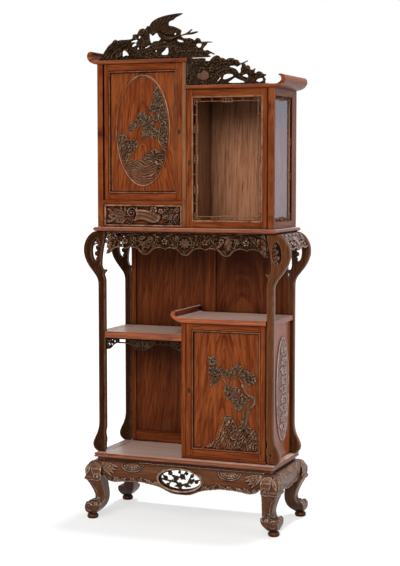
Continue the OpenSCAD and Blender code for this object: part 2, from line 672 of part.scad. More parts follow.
module display_side_glass() color([0.75, 0.8, 0.88, 0.4])
    side_infill(display_h, side_stile, glass_t - seam, x_r - side_t + 5 + seam);
// Fret around a window: a thin inner frame tied to the outer one by corner and middle pieces
module fret(w, h) {
    m = fret_in;
    difference() {
        translate([m, m]) square([w - 2 * m, h - 2 * m]);
        translate([m + bar, m + bar]) square([w - 2 * (m + bar), h - 2 * (m + bar)]);
    }
    for (sx = [0, 1], sz = [0, 1]) translate([sx * w, sz * h]) mirror([sx, 0]) mirror([0, sz]) {
        square([m + bar, bar]);
        square([bar, m + bar]);
        translate([2 * m, 0]) square([bar, m + bar]);
        translate([0, 2 * m]) square([m + bar, bar]);
        translate([m, m]) square([m * 0.9, m * 0.9]);
    }
    for (sz = [0, 1]) translate([w / 2, sz * h]) mirror([0, sz]) for (k = [-1 : 1])
        translate([k * m * 1.1 - bar / 2, 0]) square([bar, m + bar + (k == 0 ? 4 : 0)]);
    for (sx = [0, 1]) translate([sx * w, h / 2]) mirror([sx, 0]) for (k = [-1 : 1])
        translate([0, k * m * 1.1 - bar / 2]) square([m + bar + (k == 0 ? 4 : 0), bar]);
}
module display_side_fret() color(dark) {
    w = body_d - side_stile - corner_d - 2 * seam;
    translate([0, y_f + corner_d + seam, z_cab + side_rail + seam])
        sideways(x_r - side_t + 5 + glass_t + 3 * seam, 5) fret(w, display_h - 2 * side_rail - 2 * seam);
}

// Divider, the deck over the drawer and the drawer's runners
module divider() color(wood) difference() {
    box([x_div0, y_f, z_cab], [x_div1, y_b - seam, z_tall]);
    bolt_mortise(x_div0, 1, z_cab + key_tall);
    bolt_mortise(x_div1, -1, z_cab + key_display);
}
tall_x0 = x_l + corner_w;
module drawer_deck() color(wood) difference() {
    box([x_l + side_t + seam, y_f, z_deck], [x_div0 - seam, y_b - back_t - 2 * seam, z_cupfloor]);
    box([x_l, y_f - 1, z_deck - 1], [tall_x0 + seam, y_f + corner_d + seam, z_cupfloor + 1]);
    pin_hole(x_tall_hinge, z_cupfloor, -1);
}
run_t = 4;
module drawer_runners() color(light) {
    y0 = y_drawer + seam;
    y1 = y_b - back_t - 2 * seam;
    box([x_l + side_t + seam, y0, z_cab], [tall_x0 + 16, y1, z_cab + run_t]);
    box([x_l + side_t + seam, y0, z_cab], [tall_x0 + door_gap - 0.6, y1, z_cab + 30]);
    box([x_div0 - 18, y0, z_cab], [x_div0 - seam, y1, z_cab + run_t]);
}

// Backs: upright boards side by side
module board_back(x0, x1, height) {
    w = (x1 - x0) / back_boards;
    for (k = [0 : back_boards - 1])
        box([x0 + k * w + seam, y_b - back_t, z_cab], [x0 + (k + 1) * w - seam, y_b - 1, z_cab + height]);
}
module tall_back() color(wood) board_back(x_l + side_t, x_div0, tall_h);
module display_back() color(wood) board_back(x_div1, x_r - side_t, display_h);

// Top boards with their rolled ends
module top_board(outline) intersection() {
    upright(y_f - top_out, body_d + 2 * top_out) polygon(outline);
    sideways(-body_w, 2 * body_w) polygon(concat(
        rolls(y_b + top_out, 0, top_t, 1), [[y_b + top_out - 1, top_t + roll_up + 1]],
        [[y_f - top_out + 1, top_t + roll_up + 1]], flip(rolls(-y_f + top_out, 0, top_t, 1))));
}
tall_end = x_div1 + 7;
module tall_top() color(wood) difference() {
    translate([0, 0, z_tall]) top_board(concat(
        [[tall_end, top_t], [tall_end, 0]], shift(flip(rolled(roll_out, roll_up, top_t)), [x_l, top_t])));
    pin_hole(x_tall_hinge, z_tall, 1);
}
module display_top() color(wood) difference() {
    translate([0, 0, z_display]) top_board(concat(
        shift(rolled(roll_out, roll_up, top_t), [x_r, top_t]),
        [[x_div1 + seam, 0], [x_div1 + seam, top_t]]));
    pin_hole(x_glazed_hinge, z_display, 1);
}

// Crest: pierced branches, blossoms and rock, drawn for the sizes below and fitted to the boards
y_crest = y_f - top_out + crest_in;
drawn_tall = [382, 171];
drawn_low = [357, 112];
k_tall = [(tall_end - x_l) / drawn_tall[0], crest_h / drawn_tall[1]];
k_low = [(x_r - x_div1) / drawn_low[0], crest_low_h / drawn_low[1]];
module pierced(list, k) for (q = list) polygon(fitted(closed(q), k));
module blossoms(list, k) for (q = list)
    upright(-2, crest_t + 4) translate([q[0] * k[0], q[1] * k[1]]) polygon(lobed(q[2], 5, 0.15, 25));
module branch(p, w0, w1, k) upright(-1.5, crest_t + 3) polygon(twig(fitted(p, k), w0, w1));
// Height at which the bird stands on the branch
perch = 58;
// Rocks at the left, and a branch that reaches out to the right past the end of the tall board
function tall_outline() = fitted(concat(
    [[18, 0]],
    curve([[19, 14], [26, 30], [46, 56], [60, 66], [68, 75], [78, 79], [88, 74], [104, 77], [144, 78],
           [151, 84], [150, 92], [158, 97], [168, 97], [180, 112], [191, 118], [203, 116], [211, 110],
           [212, 98], [219, 85], [219, 72], [227, 64], [240, 66], [252, 63], [262, 60], [272, 59]], 2),
    curve([[282, perch], [330, perch], [338, 60], [347, 58], [361, 63], [363, 70], [359, 76], [366, 79],
           [377, 75], [388, 76], [400, 71], [408, 66], [422, 74], [430, 71], [436, 63], [448, 60],
           [479, 59], [479, 55], [463, 54], [449, 41], [444, 33], [450, 27], [462, 28], [489, 15],
           [486, 10], [472, 14], [462, 9], [447, 10]], 2),
    [[441, 0]]
), k_tall);
module crest_tall() color(dark) translate([x_l, y_crest, z_tall_roof + seam]) {
    upright(0, crest_t) difference() {
        polygon(tall_outline());
        pierced([
            [[102, 20], [108, 13], [116, 13], [124, 19], [133, 19], [127, 30], [116, 37], [106, 33]],
            [[136, 66], [150, 72], [169, 75], [166, 67], [151, 66]],
            [[146, 53], [157, 60], [168, 61], [166, 54], [153, 50]],
            [[166, 40], [172, 45], [180, 42], [175, 38]],
            [[174, 84], [178, 91], [185, 86], [180, 80]],
            [[196, 46], [208, 52], [222, 53], [220, 47], [208, 44]],
            [[269, 17], [281, 30], [287, 38], [294, 42], [300, 36], [299, 17], [284, 15]],
            [[414, 50], [425, 53], [437, 50], [432, 38], [420, 40]]
        ], k_tall);
    }
    branch([[186, 34], [214, 30], [246, 38], [262, 46], [306, 47], [350, 44], [404, 50], [450, 57]],
        11, 5, k_tall);
    branch([[330, 6], [342, 26], [352, 42]], 10, 9, k_tall);
    branch([[360, 22], [404, 22], [440, 20], [476, 18]], 9, 4, k_tall);
    blossoms([[190, 104, 12], [159, 87, 7], [240, 54, 11], [226, 31, 10], [347, 60, 10], [382, 60, 13],
              [421, 62, 9], [368, 35, 13], [400, 34, 11], [318, 33, 12], [254, 26, 10]], k_tall);
}
// The branch over the display cabinet keeps clear of the other one, which reaches over it
function low_outline() = fitted(concat(
    [[0, 0], [0, 30], [8, 36], [8, 100], [74, 101]],
    curve([[77, 93], [95, 91], [109, 105], [122, 110], [133, 107], [140, 100], [150, 100], [164, 93],
           [174, 98], [189, 98], [198, 92], [207, 91], [218, 80], [232, 82], [247, 87], [249, 83],
           [238, 76], [248, 70], [256, 64], [260, 55], [268, 53], [279, 57], [276, 46], [292, 46],
           [303, 43], [310, 36], [324, 34], [323, 30], [316, 25], [320, 10]], 2),
    [[316, 0]]
), k_low);
module crest_display() color(dark) translate([x_div1 + seam, y_crest, z_display_roof + seam]) difference() {
    union() {
        upright(0, crest_t) difference() {
            polygon(low_outline());
            pierced([
                [[43, 34], [46, 46], [67, 54], [81, 51], [91, 44], [92, 30], [83, 21], [66, 20], [50, 24]],
                [[126, 15], [138, 27], [141, 24], [130, 13]],
                [[150, 22], [152, 34], [169, 39], [186, 37], [191, 31], [180, 25], [163, 19]],
                [[172, 6], [182, 15], [196, 24], [206, 21], [219, 15], [235, 9], [230, 5]],
                [[175, 66], [196, 70], [206, 66], [222, 74], [225, 66], [221, 56], [222, 45], [213, 42],
                 [203, 54], [190, 61]],
                [[226, 31], [243, 36], [251, 29], [246, 24], [232, 24]],
                [[282, 11], [290, 18], [307, 20], [309, 11], [296, 6]]
            ], k_low);
        }
        branch([[20, 6], [24, 34], [20, 62], [34, 86]], 14, 9, k_low);
        branch([[104, 6], [114, 30], [126, 50], [150, 52], [178, 50], [196, 45], [210, 32], [224, 27]],
            10, 6, k_low);
        branch([[246, 14], [262, 30], [258, 52], [238, 66]], 9, 6, k_low);
        blossoms([[24, 88, 11], [50, 86, 13], [84, 82, 13], [120, 92, 14], [148, 84, 13], [184, 85, 11],
                  [210, 83, 7], [240, 68, 9], [264, 44, 10], [298, 33, 9], [108, 52, 12], [136, 62, 11],
                  [104, 20, 11], [268, 15, 10]], k_low);
    }
    translate([x_l - x_div1 - seam, 0, z_tall_roof - z_display_roof]) upright(-3, crest_t + 6)
        polygon(grown(tall_outline(), seam));
}
// A long-tailed bird alights on the branch: spindle body, raised wing, folded wing and forked tail
bird_x = 302;
bird_z = 76 * k_tall[1];
perch_z = perch * k_tall[1] + seam;
module crest_bird() color(dark)
    translate([x_l + bird_x * k_tall[0], y_crest + crest_t / 2, z_tall_roof + seam]) {
    translate([0, 0, bird_z]) rotate([0, -8, 0]) rotate([0, 90, 0]) rotate_extrude() polygon(curve([
        [0, -bird_l * 0.5], [3, -bird_l * 0.48], [8, -bird_l * 0.4], [7, -bird_l * 0.28],
        [11, -bird_l * 0.1], [11, bird_l * 0.08], [7, bird_l * 0.3], [3, bird_l * 0.47], [0, bird_l * 0.5]
    ], 2));
    upright(-3, 6) polygon([[-5, perch_z], [5, perch_z], [3, bird_z], [-3, bird_z]]);
    translate([0, 0, bird_z]) scale([bird_l / 96, 1, crest_h / drawn_tall[1]]) {
        upright(-4, 8) difference() {
            polygon(concat(
                curve([[-86, 24], [-88, 36], [-84, 49], [-77, 60], [-68, 70], [-48, 80], [-16, 89],
                       [24, 93.5], [54, 95]], 2),
                curve([[51, 88], [36, 82], [26, 77], [16, 69], [5, 66], [-2, 58], [2, 48], [16, 46],
                       [34, 39], [49, 30], [50, 21], [50, 14]], 2),
                curve([[62, 15], [77, 20], [92, 32], [97, 30], [88, 20]], 2),
                curve([[100, 21], [117, 24], [119, 19], [97, 12], [74, 9], [50, 5], [34, -1], [19, -9],
                       [4, -13], [-16, -13], [-28, -9], [-33, 1], [-41, 10], [-48, 21], [-56, 20],
                       [-68, 12], [-79, 15]], 2)));
            translate([27, 17]) circle(r = 3.5);
        }
        upright(-8, 5) polygon(concat(
            curve([[-18, 2], [-10, 32], [14, 43], [34, 36], [46, 27]]), [[44, 22], [22, 22], [12, 6]]));
    }
}

// Hinge axes and the shapes that pins and bolts need
x_tall_hinge = tall_x0 + door_gap + door_t / 2;
x_glazed_hinge = x_r - corner_w - door_gap - door_t / 2;
x_cup_hinge = x_post0 - door_gap - door_t / 2;
y_hinge = y_door + door_t / 2;
// A hole for a pin at height z, going up for dir 1 and down for dir -1
module pin_hole(x, z, dir) translate([x, y_hinge, z + dir * (pin_out / 2)])
    cylinder(r = pin_r + fit, h = pin_out + 1, center = true);
// A slot for the bolt under the keyhole at height z, in the face at x and going in along dir
module bolt_mortise(x, dir, z) translate([x + dir * bolt_throw / 2, y_hinge, z - bolt_drop])
    cube([bolt_throw + 2, bolt_t + 2, bolt_h + 2], center = true);
bolt_t = 4;
bolt_l = 16;
bolt_drop = 7;
lock_h = 38;
lock_w = 20;
lock_t = 9;

// A door drawn from its hinge: x runs from the hinge edge to the free edge, y from front to back
module door_frame(w, h, infill, key_z) difference() {
    union() {
        linear_extrude(h) {
            translate([door_t / 2, door_t / 2]) circle(r = door_t / 2);
            translate([door_t / 2, 0]) square([stile - door_t / 2, door_t]);
        }
        box([w - stile, 0, 0], [w, door_t, h]);
        for (z = [0, h - rail]) box([stile + seam, 0, z], [w - stile - seam, door_t, z + rail]);
    }
    box([stile - groove, infill_y(infill), rail - groove],
        [w - stile + groove, infill_y(infill) + infill + 2 * seam, h - rail + groove]);
    box([stile - step_w, -1, rail - step_w], [w - stile + step_w, step_d, h - rail + step_w]);
    for (z = [-1, h - pin_in]) translate([door_t / 2, door_t / 2, z])
        cylinder(r = pin_r + fit / 2, h = pin_in + 1);
    translate([w - lock_w - seam, (door_t - lock_t) / 2 - seam, key_z - lock_h / 2 - seam])
        cube([lock_w + 1, lock_t + 2 * seam, lock_h + 2 * seam]);
    keyhole(w, key_z);
}
function infill_y(t) = door_t / 2 + 1 - t / 2 - seam;
key_in = 13;
module keyhole(w, key_z) translate([w - key_in, -1, key_z + 2]) {
    rotate([-90, 0, 0]) cylinder(r = 2.2, h = (door_t - lock_t) / 2 + 4);
    translate([-1, 0, -9]) cube([2, (door_t - lock_t) / 2 + 4, 9]);
}
module door_infill(w, h, t)
    box([stile - groove + seam, infill_y(t) + seam, rail - groove + seam],
        [w - stile + groove - seam, infill_y(t) + seam + t, h - rail + groove - seam]);
// Pins at top and bottom, and the lock in the free stile, with its bolt's channel
module door_fittings(w, h, z_below, z_above, key_z) color(brass) {
    translate([door_t / 2, door_t / 2, -z_below - pin_out + 0.5])
        cylinder(r = pin_r, h = pin_in + z_below + pin_out - 1);
    translate([door_t / 2, door_t / 2, h - pin_in + 0.5])
        cylinder(r = pin_r, h = pin_in + z_above + pin_out - 1);
    difference() {
        translate([w - lock_w, (door_t - lock_t) / 2, key_z - lock_h / 2]) cube([lock_w, lock_t, lock_h]);
        translate([w - bolt_l - 1, (door_t - bolt_t) / 2 - slack, key_z - bolt_drop - bolt_h / 2 - slack])
            cube([bolt_l + 2, bolt_t + 2 * slack, bolt_h + 2 * slack]);
        keyhole(w, key_z);
    }
}
module door_bolt(w, key_z) color(steel)
    translate([w - bolt_l - 0.3, (door_t - bolt_t) / 2, key_z - bolt_drop - bolt_h / 2])
        cube([bolt_l, bolt_t, bolt_h]);
// Places a door hung on the left or, mirrored, on the right
module hung_left(z) translate([x_tall_hinge - door_t / 2, y_door, z]) children();
module hung_right(x, z) translate([x + door_t / 2, y_door, z]) mirror([1, 0, 0]) children();

tall_w = x_div0 - tall_x0 - 2 * door_gap;
tall_door_h = z_tall - z_cupfloor - 2 * door_gap;
z_tall_door = z_cupfloor + door_gap;
glazed_w = x_r - corner_w - x_div1 - 2 * door_gap;
glazed_h = display_h - 2 * door_gap;
z_glazed = z_cab + door_gap;
cup_w = x_post0 - x_wall1 - 2 * door_gap;
z_cup_door = z_floor + sill_h + door_gap;
cup_door_h = z_cup0 - door_gap - z_cup_door;

// Size of the panel for which the cupboard door's tree is drawn
drawn_cup = [270.6, 455.6];
// Relief carving: rocks, a bent pine and its clumps of needles, raised on a panel
module clumps(list, t) for (q = list)
    upright(-t, t + 1) translate([q[0], q[1]]) polygon(lobed(q[2], 7, 0.1, 28));
module tall_door_frame() color(wood) hung_left(z_tall_door)
    door_frame(tall_w, tall_door_h, panel_t, z_cab + key_tall - z_tall_door);
module tall_door_panel() color(wood) hung_left(z_tall_door) {
    door_infill(tall_w, tall_door_h, panel_t);
    a = (tall_w - 2 * stile) / 2 - 23;
    b = (tall_door_h - 2 * rail) / 2 - 15;
    translate([tall_w / 2, infill_y(panel_t) + seam, tall_door_h / 2 + 6]) {
        upright(-3, 4) difference() {
            polygon(ellipse(a, b, 60));
            polygon(ellipse(a - 6, b - 7, 60));
        }
        // Waves fill the lower part of the oval
        intersection() {
            upright(-2, 3) polygon(ellipse(a - 8, b - 9, 60));
            box([-a, -9, -b], [a, 9, -b * 0.44]);
        }
        // Rocky bank and pines lean in from the right
        intersection() {
            upright(-9, 18) polygon(ellipse(a - 8, b - 9, 60));
            union() {
                upright(-5, 6) polygon(fitted(curve([
                    [-0.9, -0.2], [-0.5, -0.16], [-0.2, -0.3], [0.2, -0.36], [0.6, -0.26],
                    [0.95, -0.3], [0.8, -0.62], [0.2, -0.5], [-0.4, -0.48], [-0.95, -0.42]
                ]), [a, b]));
                upright(-6, 7) polygon(twig([[a * 0.72, -b * 0.34], [a * 0.8, 0], [a * 0.6, b * 0.2],
                    [a * 0.5, b * 0.42]], 10, 5));
                upright(-6, 7) polygon(twig([[a * 0.76, b * 0.05], [a * 0.3, b * 0.02],
                    [-a * 0.1, -b * 0.08]], 7, 4));
                clumps([[a * 0.5, b * 0.55, 21], [a * 0.72, b * 0.36, 20], [a * 0.3, b * 0.38, 17],
                        [a * 0.6, b * 0.16, 19], [a * 0.2, b * 0.16, 17], [-a * 0.1, b * 0.02, 16],
                        [a * 0.42, -b * 0.06, 17], [a * 0.04, -b * 0.16, 15], [-a * 0.62, -b * 0.08, 18],
                        [-a * 0.8, -b * 0.24, 15], [-a * 0.42, -b * 0.22, 14]], 6);
            }
        }
    }
}
module tall_door_fittings() hung_left(z_tall_door)
    door_fittings(tall_w, tall_door_h, door_gap, door_gap, z_cab + key_tall - z_tall_door);
module tall_door_bolt() hung_left(z_tall_door) door_bolt(tall_w, z_cab + key_tall - z_tall_door);

module glazed_door_frame() color(wood) hung_right(x_glazed_hinge, z_glazed)
    door_frame(glazed_w, glazed_h, glass_t, z_cab + key_display - z_glazed);
module glazed_door_glass() color([0.75, 0.8, 0.88, 0.4]) hung_right(x_glazed_hinge, z_glazed)
    door_infill(glazed_w, glazed_h, glass_t);
module glazed_door_fret() color(dark) hung_right(x_glazed_hinge, z_glazed)
    translate([stile + seam, 0, rail + seam]) upright(infill_y(glass_t) - 6, 6)
        fret(glazed_w - 2 * stile - 2 * seam, glazed_h - 2 * rail - 2 * seam);
module glazed_door_fittings() hung_right(x_glazed_hinge, z_glazed)
    door_fittings(glazed_w, glazed_h, door_gap, door_gap, z_cab + key_display - z_glazed);
module glazed_door_bolt() hung_right(x_glazed_hinge, z_glazed)
    door_bolt(glazed_w, z_cab + key_display - z_glazed);

module cupboard_door_frame() color(wood) hung_right(x_cup_hinge, z_cup_door)
    door_frame(cup_w, cup_door_h, panel_t, z_floor + key_cupboard - z_cup_door);
module cupboard_door_panel() color(wood) hung_right(x_cup_hinge, z_cup_door) {
    door_infill(cup_w, cup_door_h, panel_t);
    k = [(cup_w - 2 * stile) / drawn_cup[0], (cup_door_h - 2 * rail) / drawn_cup[1]];
    // The tree grows from rocks in the lower corner at the hinge and bends over the panel
    translate([stile + 6, infill_y(panel_t) + seam, rail + 2]) {
        upright(-7, 8) polygon(fitted(concat(
            [[0, 0]], curve([[4, 76], [24, 80], [46, 92], [68, 76], [88, 98], [108, 112], [132, 110],
                             [148, 92], [144, 62], [176, 34], [204, 12]]), [[212, 0]]), k));
        upright(-6, 7) polygon(twig(fitted([[54, 78], [46, 128], [32, 172], [8, 196], [10, 214],
            [44, 232], [60, 262], [76, 292]], k), 15, 8));
        upright(-6, 7) polygon(twig(fitted([[58, 256], [92, 292], [108, 268], [134, 270],
            [160, 302], [178, 320]], k), 8, 6));
        clumps([for (q = [[182, 356, 22], [186, 324, 19], [176, 292, 20], [180, 262, 15], [146, 308, 17],
                          [90, 322, 29], [56, 308, 25], [26, 284, 23], [118, 236, 20], [92, 218, 25],
                          [72, 188, 21], [96, 170, 17], [120, 124, 20]])
            [q[0] * k[0], q[1] * k[1], q[2]]], 6);
    }
}
module cupboard_door_fittings() hung_right(x_cup_hinge, z_cup_door)
    door_fittings(cup_w, cup_door_h, door_gap, door_gap, z_floor + key_cupboard - z_cup_door);
module cupboard_door_bolt() hung_right(x_cup_hinge, z_cup_door)
    door_bolt(cup_w, z_floor + key_cupboard - z_cup_door);

// Drawer: carved front, two sides and a back, and a bottom held in their grooves
drawer_x0 = tall_x0 + door_gap;
drawer_x1 = x_div0 - door_gap;
drawer_z0 = z_cab + run_t;
drawer_z1 = z_deck - door_gap;
y_drawer = y_door + front_t;
module drawer_front() color(wood) {
    w = drawer_x1 - drawer_x0;
    difference() {
        box([drawer_x0, y_door, z_cab + door_gap], [drawer_x1, y_drawer, drawer_z1]);
        box([drawer_x0 + 14, y_door - 1, z_cab + door_gap + 12],
            [drawer_x1 - 14, y_door + 4, drawer_z1 - 12]);
    }
    // A waving ribbon between flowering sprays
    translate([drawer_x0 + w / 2, y_door + 4, (z_cab + z_deck) / 2]) {
        upright(-5, 6) polygon(closed([
            [-62, -14], [-40, 4], [-14, 8], [14, 12], [40, 22], [64, 24], [74, 8], [66, -8],
            [44, -12], [20, -22], [0, -24], [-24, -18], [-46, -26], [-60, -24]]));
        for (s = [-1, 1]) {
            upright(-4, 5) polygon(twig([[s * 60, 0], [s * 90, 10], [s * 118, 4], [s * 140, 14]], 7, 4));
            upright(-4, 5) polygon(twig([[s * 72, -2], [s * 100, -14], [s * 136, -20]], 6, 4));
        }
        for (q = [[-94, 12, 13], [-118, -2, 14], [-138, 14, 9], [-104, -18, 10], [-80, 22, 9], [92, 10, 12],
                  [114, 12, 12], [134, 10, 10], [104, -14, 13], [126, -16, 11], [84, -20, 8]])
            upright(-5, 6) translate([q[0], q[1]]) polygon(lobed(q[2], 5, 0.16, 25));
    }
}
module drawer_box() color(light) {
    difference() {
        union() {
            for (x = [drawer_x0 + 0.4, drawer_x1 - 0.4 - drawer_side])
                box([x, y_drawer + seam, drawer_z0], [x + drawer_side, y_drawer + drawer_l, drawer_z1 - 6]);
            box([drawer_x0 + 0.4 + drawer_side + seam, y_drawer + drawer_l - drawer_side, drawer_z0],
                [drawer_x1 - 0.4 - drawer_side - seam, y_drawer + drawer_l, drawer_z1 - 6]);
        }
        box([drawer_x0 + drawer_side - 4, y_drawer - 1, drawer_z0 + 5],
            [drawer_x1 - drawer_side + 4, y_drawer + drawer_l - drawer_side + 4, drawer_z0 + 11]);
    }
}
module drawer_bottom() color(light)
    box([drawer_x0 + drawer_side - 4 + seam, y_drawer + seam, drawer_z0 + 5 + seam],
        [drawer_x1 - drawer_side + 4 - seam, y_drawer + drawer_l - drawer_side + 4 - seam,
         drawer_z0 + 11 - seam]);

leg_front_left();
leg_front_right();
leg_back_left();
leg_back_right();
foot_pads();
apron_front();
apron_spray();
apron_back();
apron_sides();
waist_rails();
floor_frame();
floor_panel();
post_front_left();
post_front_right();
post_back_left();
post_back_right();
lower_back_frame();
lower_back_panels();
shelf_frame();
shelf_panel();
shelf_fret();
cupboard_wall();
cupboard_sill();
cupboard_side();
cupboard_top();
frieze_front();
frieze_sides();
carrying_board();
tall_side_frame();
tall_side_panel();
divider();
drawer_deck();
drawer_runners();
display_side_frame();
display_side_glass();
display_side_fret();
tall_back();
display_back();
tall_top();
display_top();
crest_tall();
crest_display();
crest_bird();
tall_door_frame();
tall_door_panel();
tall_door_fittings();
tall_door_bolt();
glazed_door_frame();
glazed_door_glass();
glazed_door_fret();
glazed_door_fittings();
glazed_door_bolt();
cupboard_door_frame();
cupboard_door_panel();
cupboard_door_fittings();
cupboard_door_bolt();
drawer_front();
drawer_box();
drawer_bottom();
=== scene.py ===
"""Looks of the carved sideboard: polished figured wood, carved reliefs, glass, light and camera."""
import math

import bmesh
import bpy
import numpy as np
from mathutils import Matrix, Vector


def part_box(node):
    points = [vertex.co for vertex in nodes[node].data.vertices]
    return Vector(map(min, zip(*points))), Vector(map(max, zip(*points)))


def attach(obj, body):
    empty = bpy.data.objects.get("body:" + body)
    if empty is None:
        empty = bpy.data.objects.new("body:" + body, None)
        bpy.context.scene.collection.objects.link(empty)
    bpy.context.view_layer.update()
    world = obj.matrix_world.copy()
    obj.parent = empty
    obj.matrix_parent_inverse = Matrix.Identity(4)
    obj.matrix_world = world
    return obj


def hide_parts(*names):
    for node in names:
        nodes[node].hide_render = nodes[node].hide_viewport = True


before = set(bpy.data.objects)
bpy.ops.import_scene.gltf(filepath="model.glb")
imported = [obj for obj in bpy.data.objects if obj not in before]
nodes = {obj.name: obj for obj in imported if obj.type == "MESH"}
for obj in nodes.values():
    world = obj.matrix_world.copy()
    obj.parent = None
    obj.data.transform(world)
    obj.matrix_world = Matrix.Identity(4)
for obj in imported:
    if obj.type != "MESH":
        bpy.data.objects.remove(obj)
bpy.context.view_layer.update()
MM = 0.001


def add(name, data):
    """An object in the scene with that mesh, lamp or camera."""
    made = bpy.data.objects.new(name, data)
    bpy.context.scene.collection.objects.link(made)
    return made


def operator(operation, swapped=False):
    def apply(self, *other):
        return self.net.math(operation, *((*other, self) if swapped else (self, *other)))
    return apply


class Wire:
    """An output socket that can be reckoned with like a number."""

    def __init__(self, net, socket):
        self.net, self.socket = net, socket

    __add__ = __radd__ = operator("ADD")
    __mul__ = __rmul__ = operator("MULTIPLY")
    __sub__, __rsub__ = operator("SUBTRACT"), operator("SUBTRACT", True)
    __gt__, __lt__ = operator("GREATER_THAN"), operator("LESS_THAN")
    __pow__, __abs__ = operator("POWER"), operator("ABSOLUTE")


class Net:
    """Builds the node tree of a material or a world with few words."""

    def __init__(self, owner):
        self.owner = owner
        owner.use_nodes = True
        self.tree = owner.node_tree
        self.tree.nodes.clear()

    def node(self, kind, options=None, **inputs):
        made = self.tree.nodes.new("ShaderNode" + kind)
        for key, value in (options or {}).items():
            setattr(made, key, value)
        for key, value in inputs.items():
            socket = made.inputs[int(key[1:]) if key[0] == "_" else key.replace("_", " ")]
            if isinstance(value, (Wire, bpy.types.Node)):
                value = value.socket if isinstance(value, Wire) else value.outputs[0]
                self.tree.links.new(value, socket)
            else:
                socket.default_value = value
        return made

    def out(self, output, kind, options=None, **inputs):
        return Wire(self, self.node(kind, options, **inputs).outputs[output])

    def math(self, operation, *values):
        return self.out(0, "Math", {"operation": operation}, **{f"_{i}": v for i, v in enumerate(values)})

    def ramp(self, fac, stops):
        made = self.node("ValToRGB", Fac=fac)
        for i, (place, colour) in enumerate(stops):
            element = made.color_ramp.elements[i] if i < 2 else made.color_ramp.elements.new(place)
            element.position = place
            element.color = (*colour, 1)
        return Wire(self, made.outputs["Color"])

    def mix(self, fac, a, b, blend="MIX"):
        return self.out(2, "Mix", {"data_type": "RGBA", "blend_type": blend}, _0=fac, _6=a, _7=b)

    def noise(self, vector, scale, detail=3.0, rough=0.5):
        return self.out("Fac", "TexNoise", Vector=vector, Scale=scale, Detail=detail, Roughness=rough)

    def layer(self, name):
        return self.out("Fac", "Attribute", {"attribute_name": name})

    def facing(self, axis):
        return self.out(axis, "SeparateXYZ", Vector=self.out("True Normal", "NewGeometry"))

    def seen(self):
        """1 for rays from the eye, a gloss or a glass, because the white background is for them alone."""
        path = self.node("LightPath").outputs
        rays = [Wire(self, path[f"Is {kind} Ray"]) for kind in ("Camera", "Glossy", "Transmission")]
        return self.math("MAXIMUM", rays[0], self.math("MAXIMUM", *rays[1:]))

    def finish(self, shader, kind="Material"):
        self.node("Output" + kind, Surface=shader)
        return self.owner


def scaled(colour, *by):
    """A colour times one number, or times one for each of its parts, as a shader wants it."""
    return (*[c * k for c, k in zip(colour, by * 3 if len(by) == 1 else by)], 1)


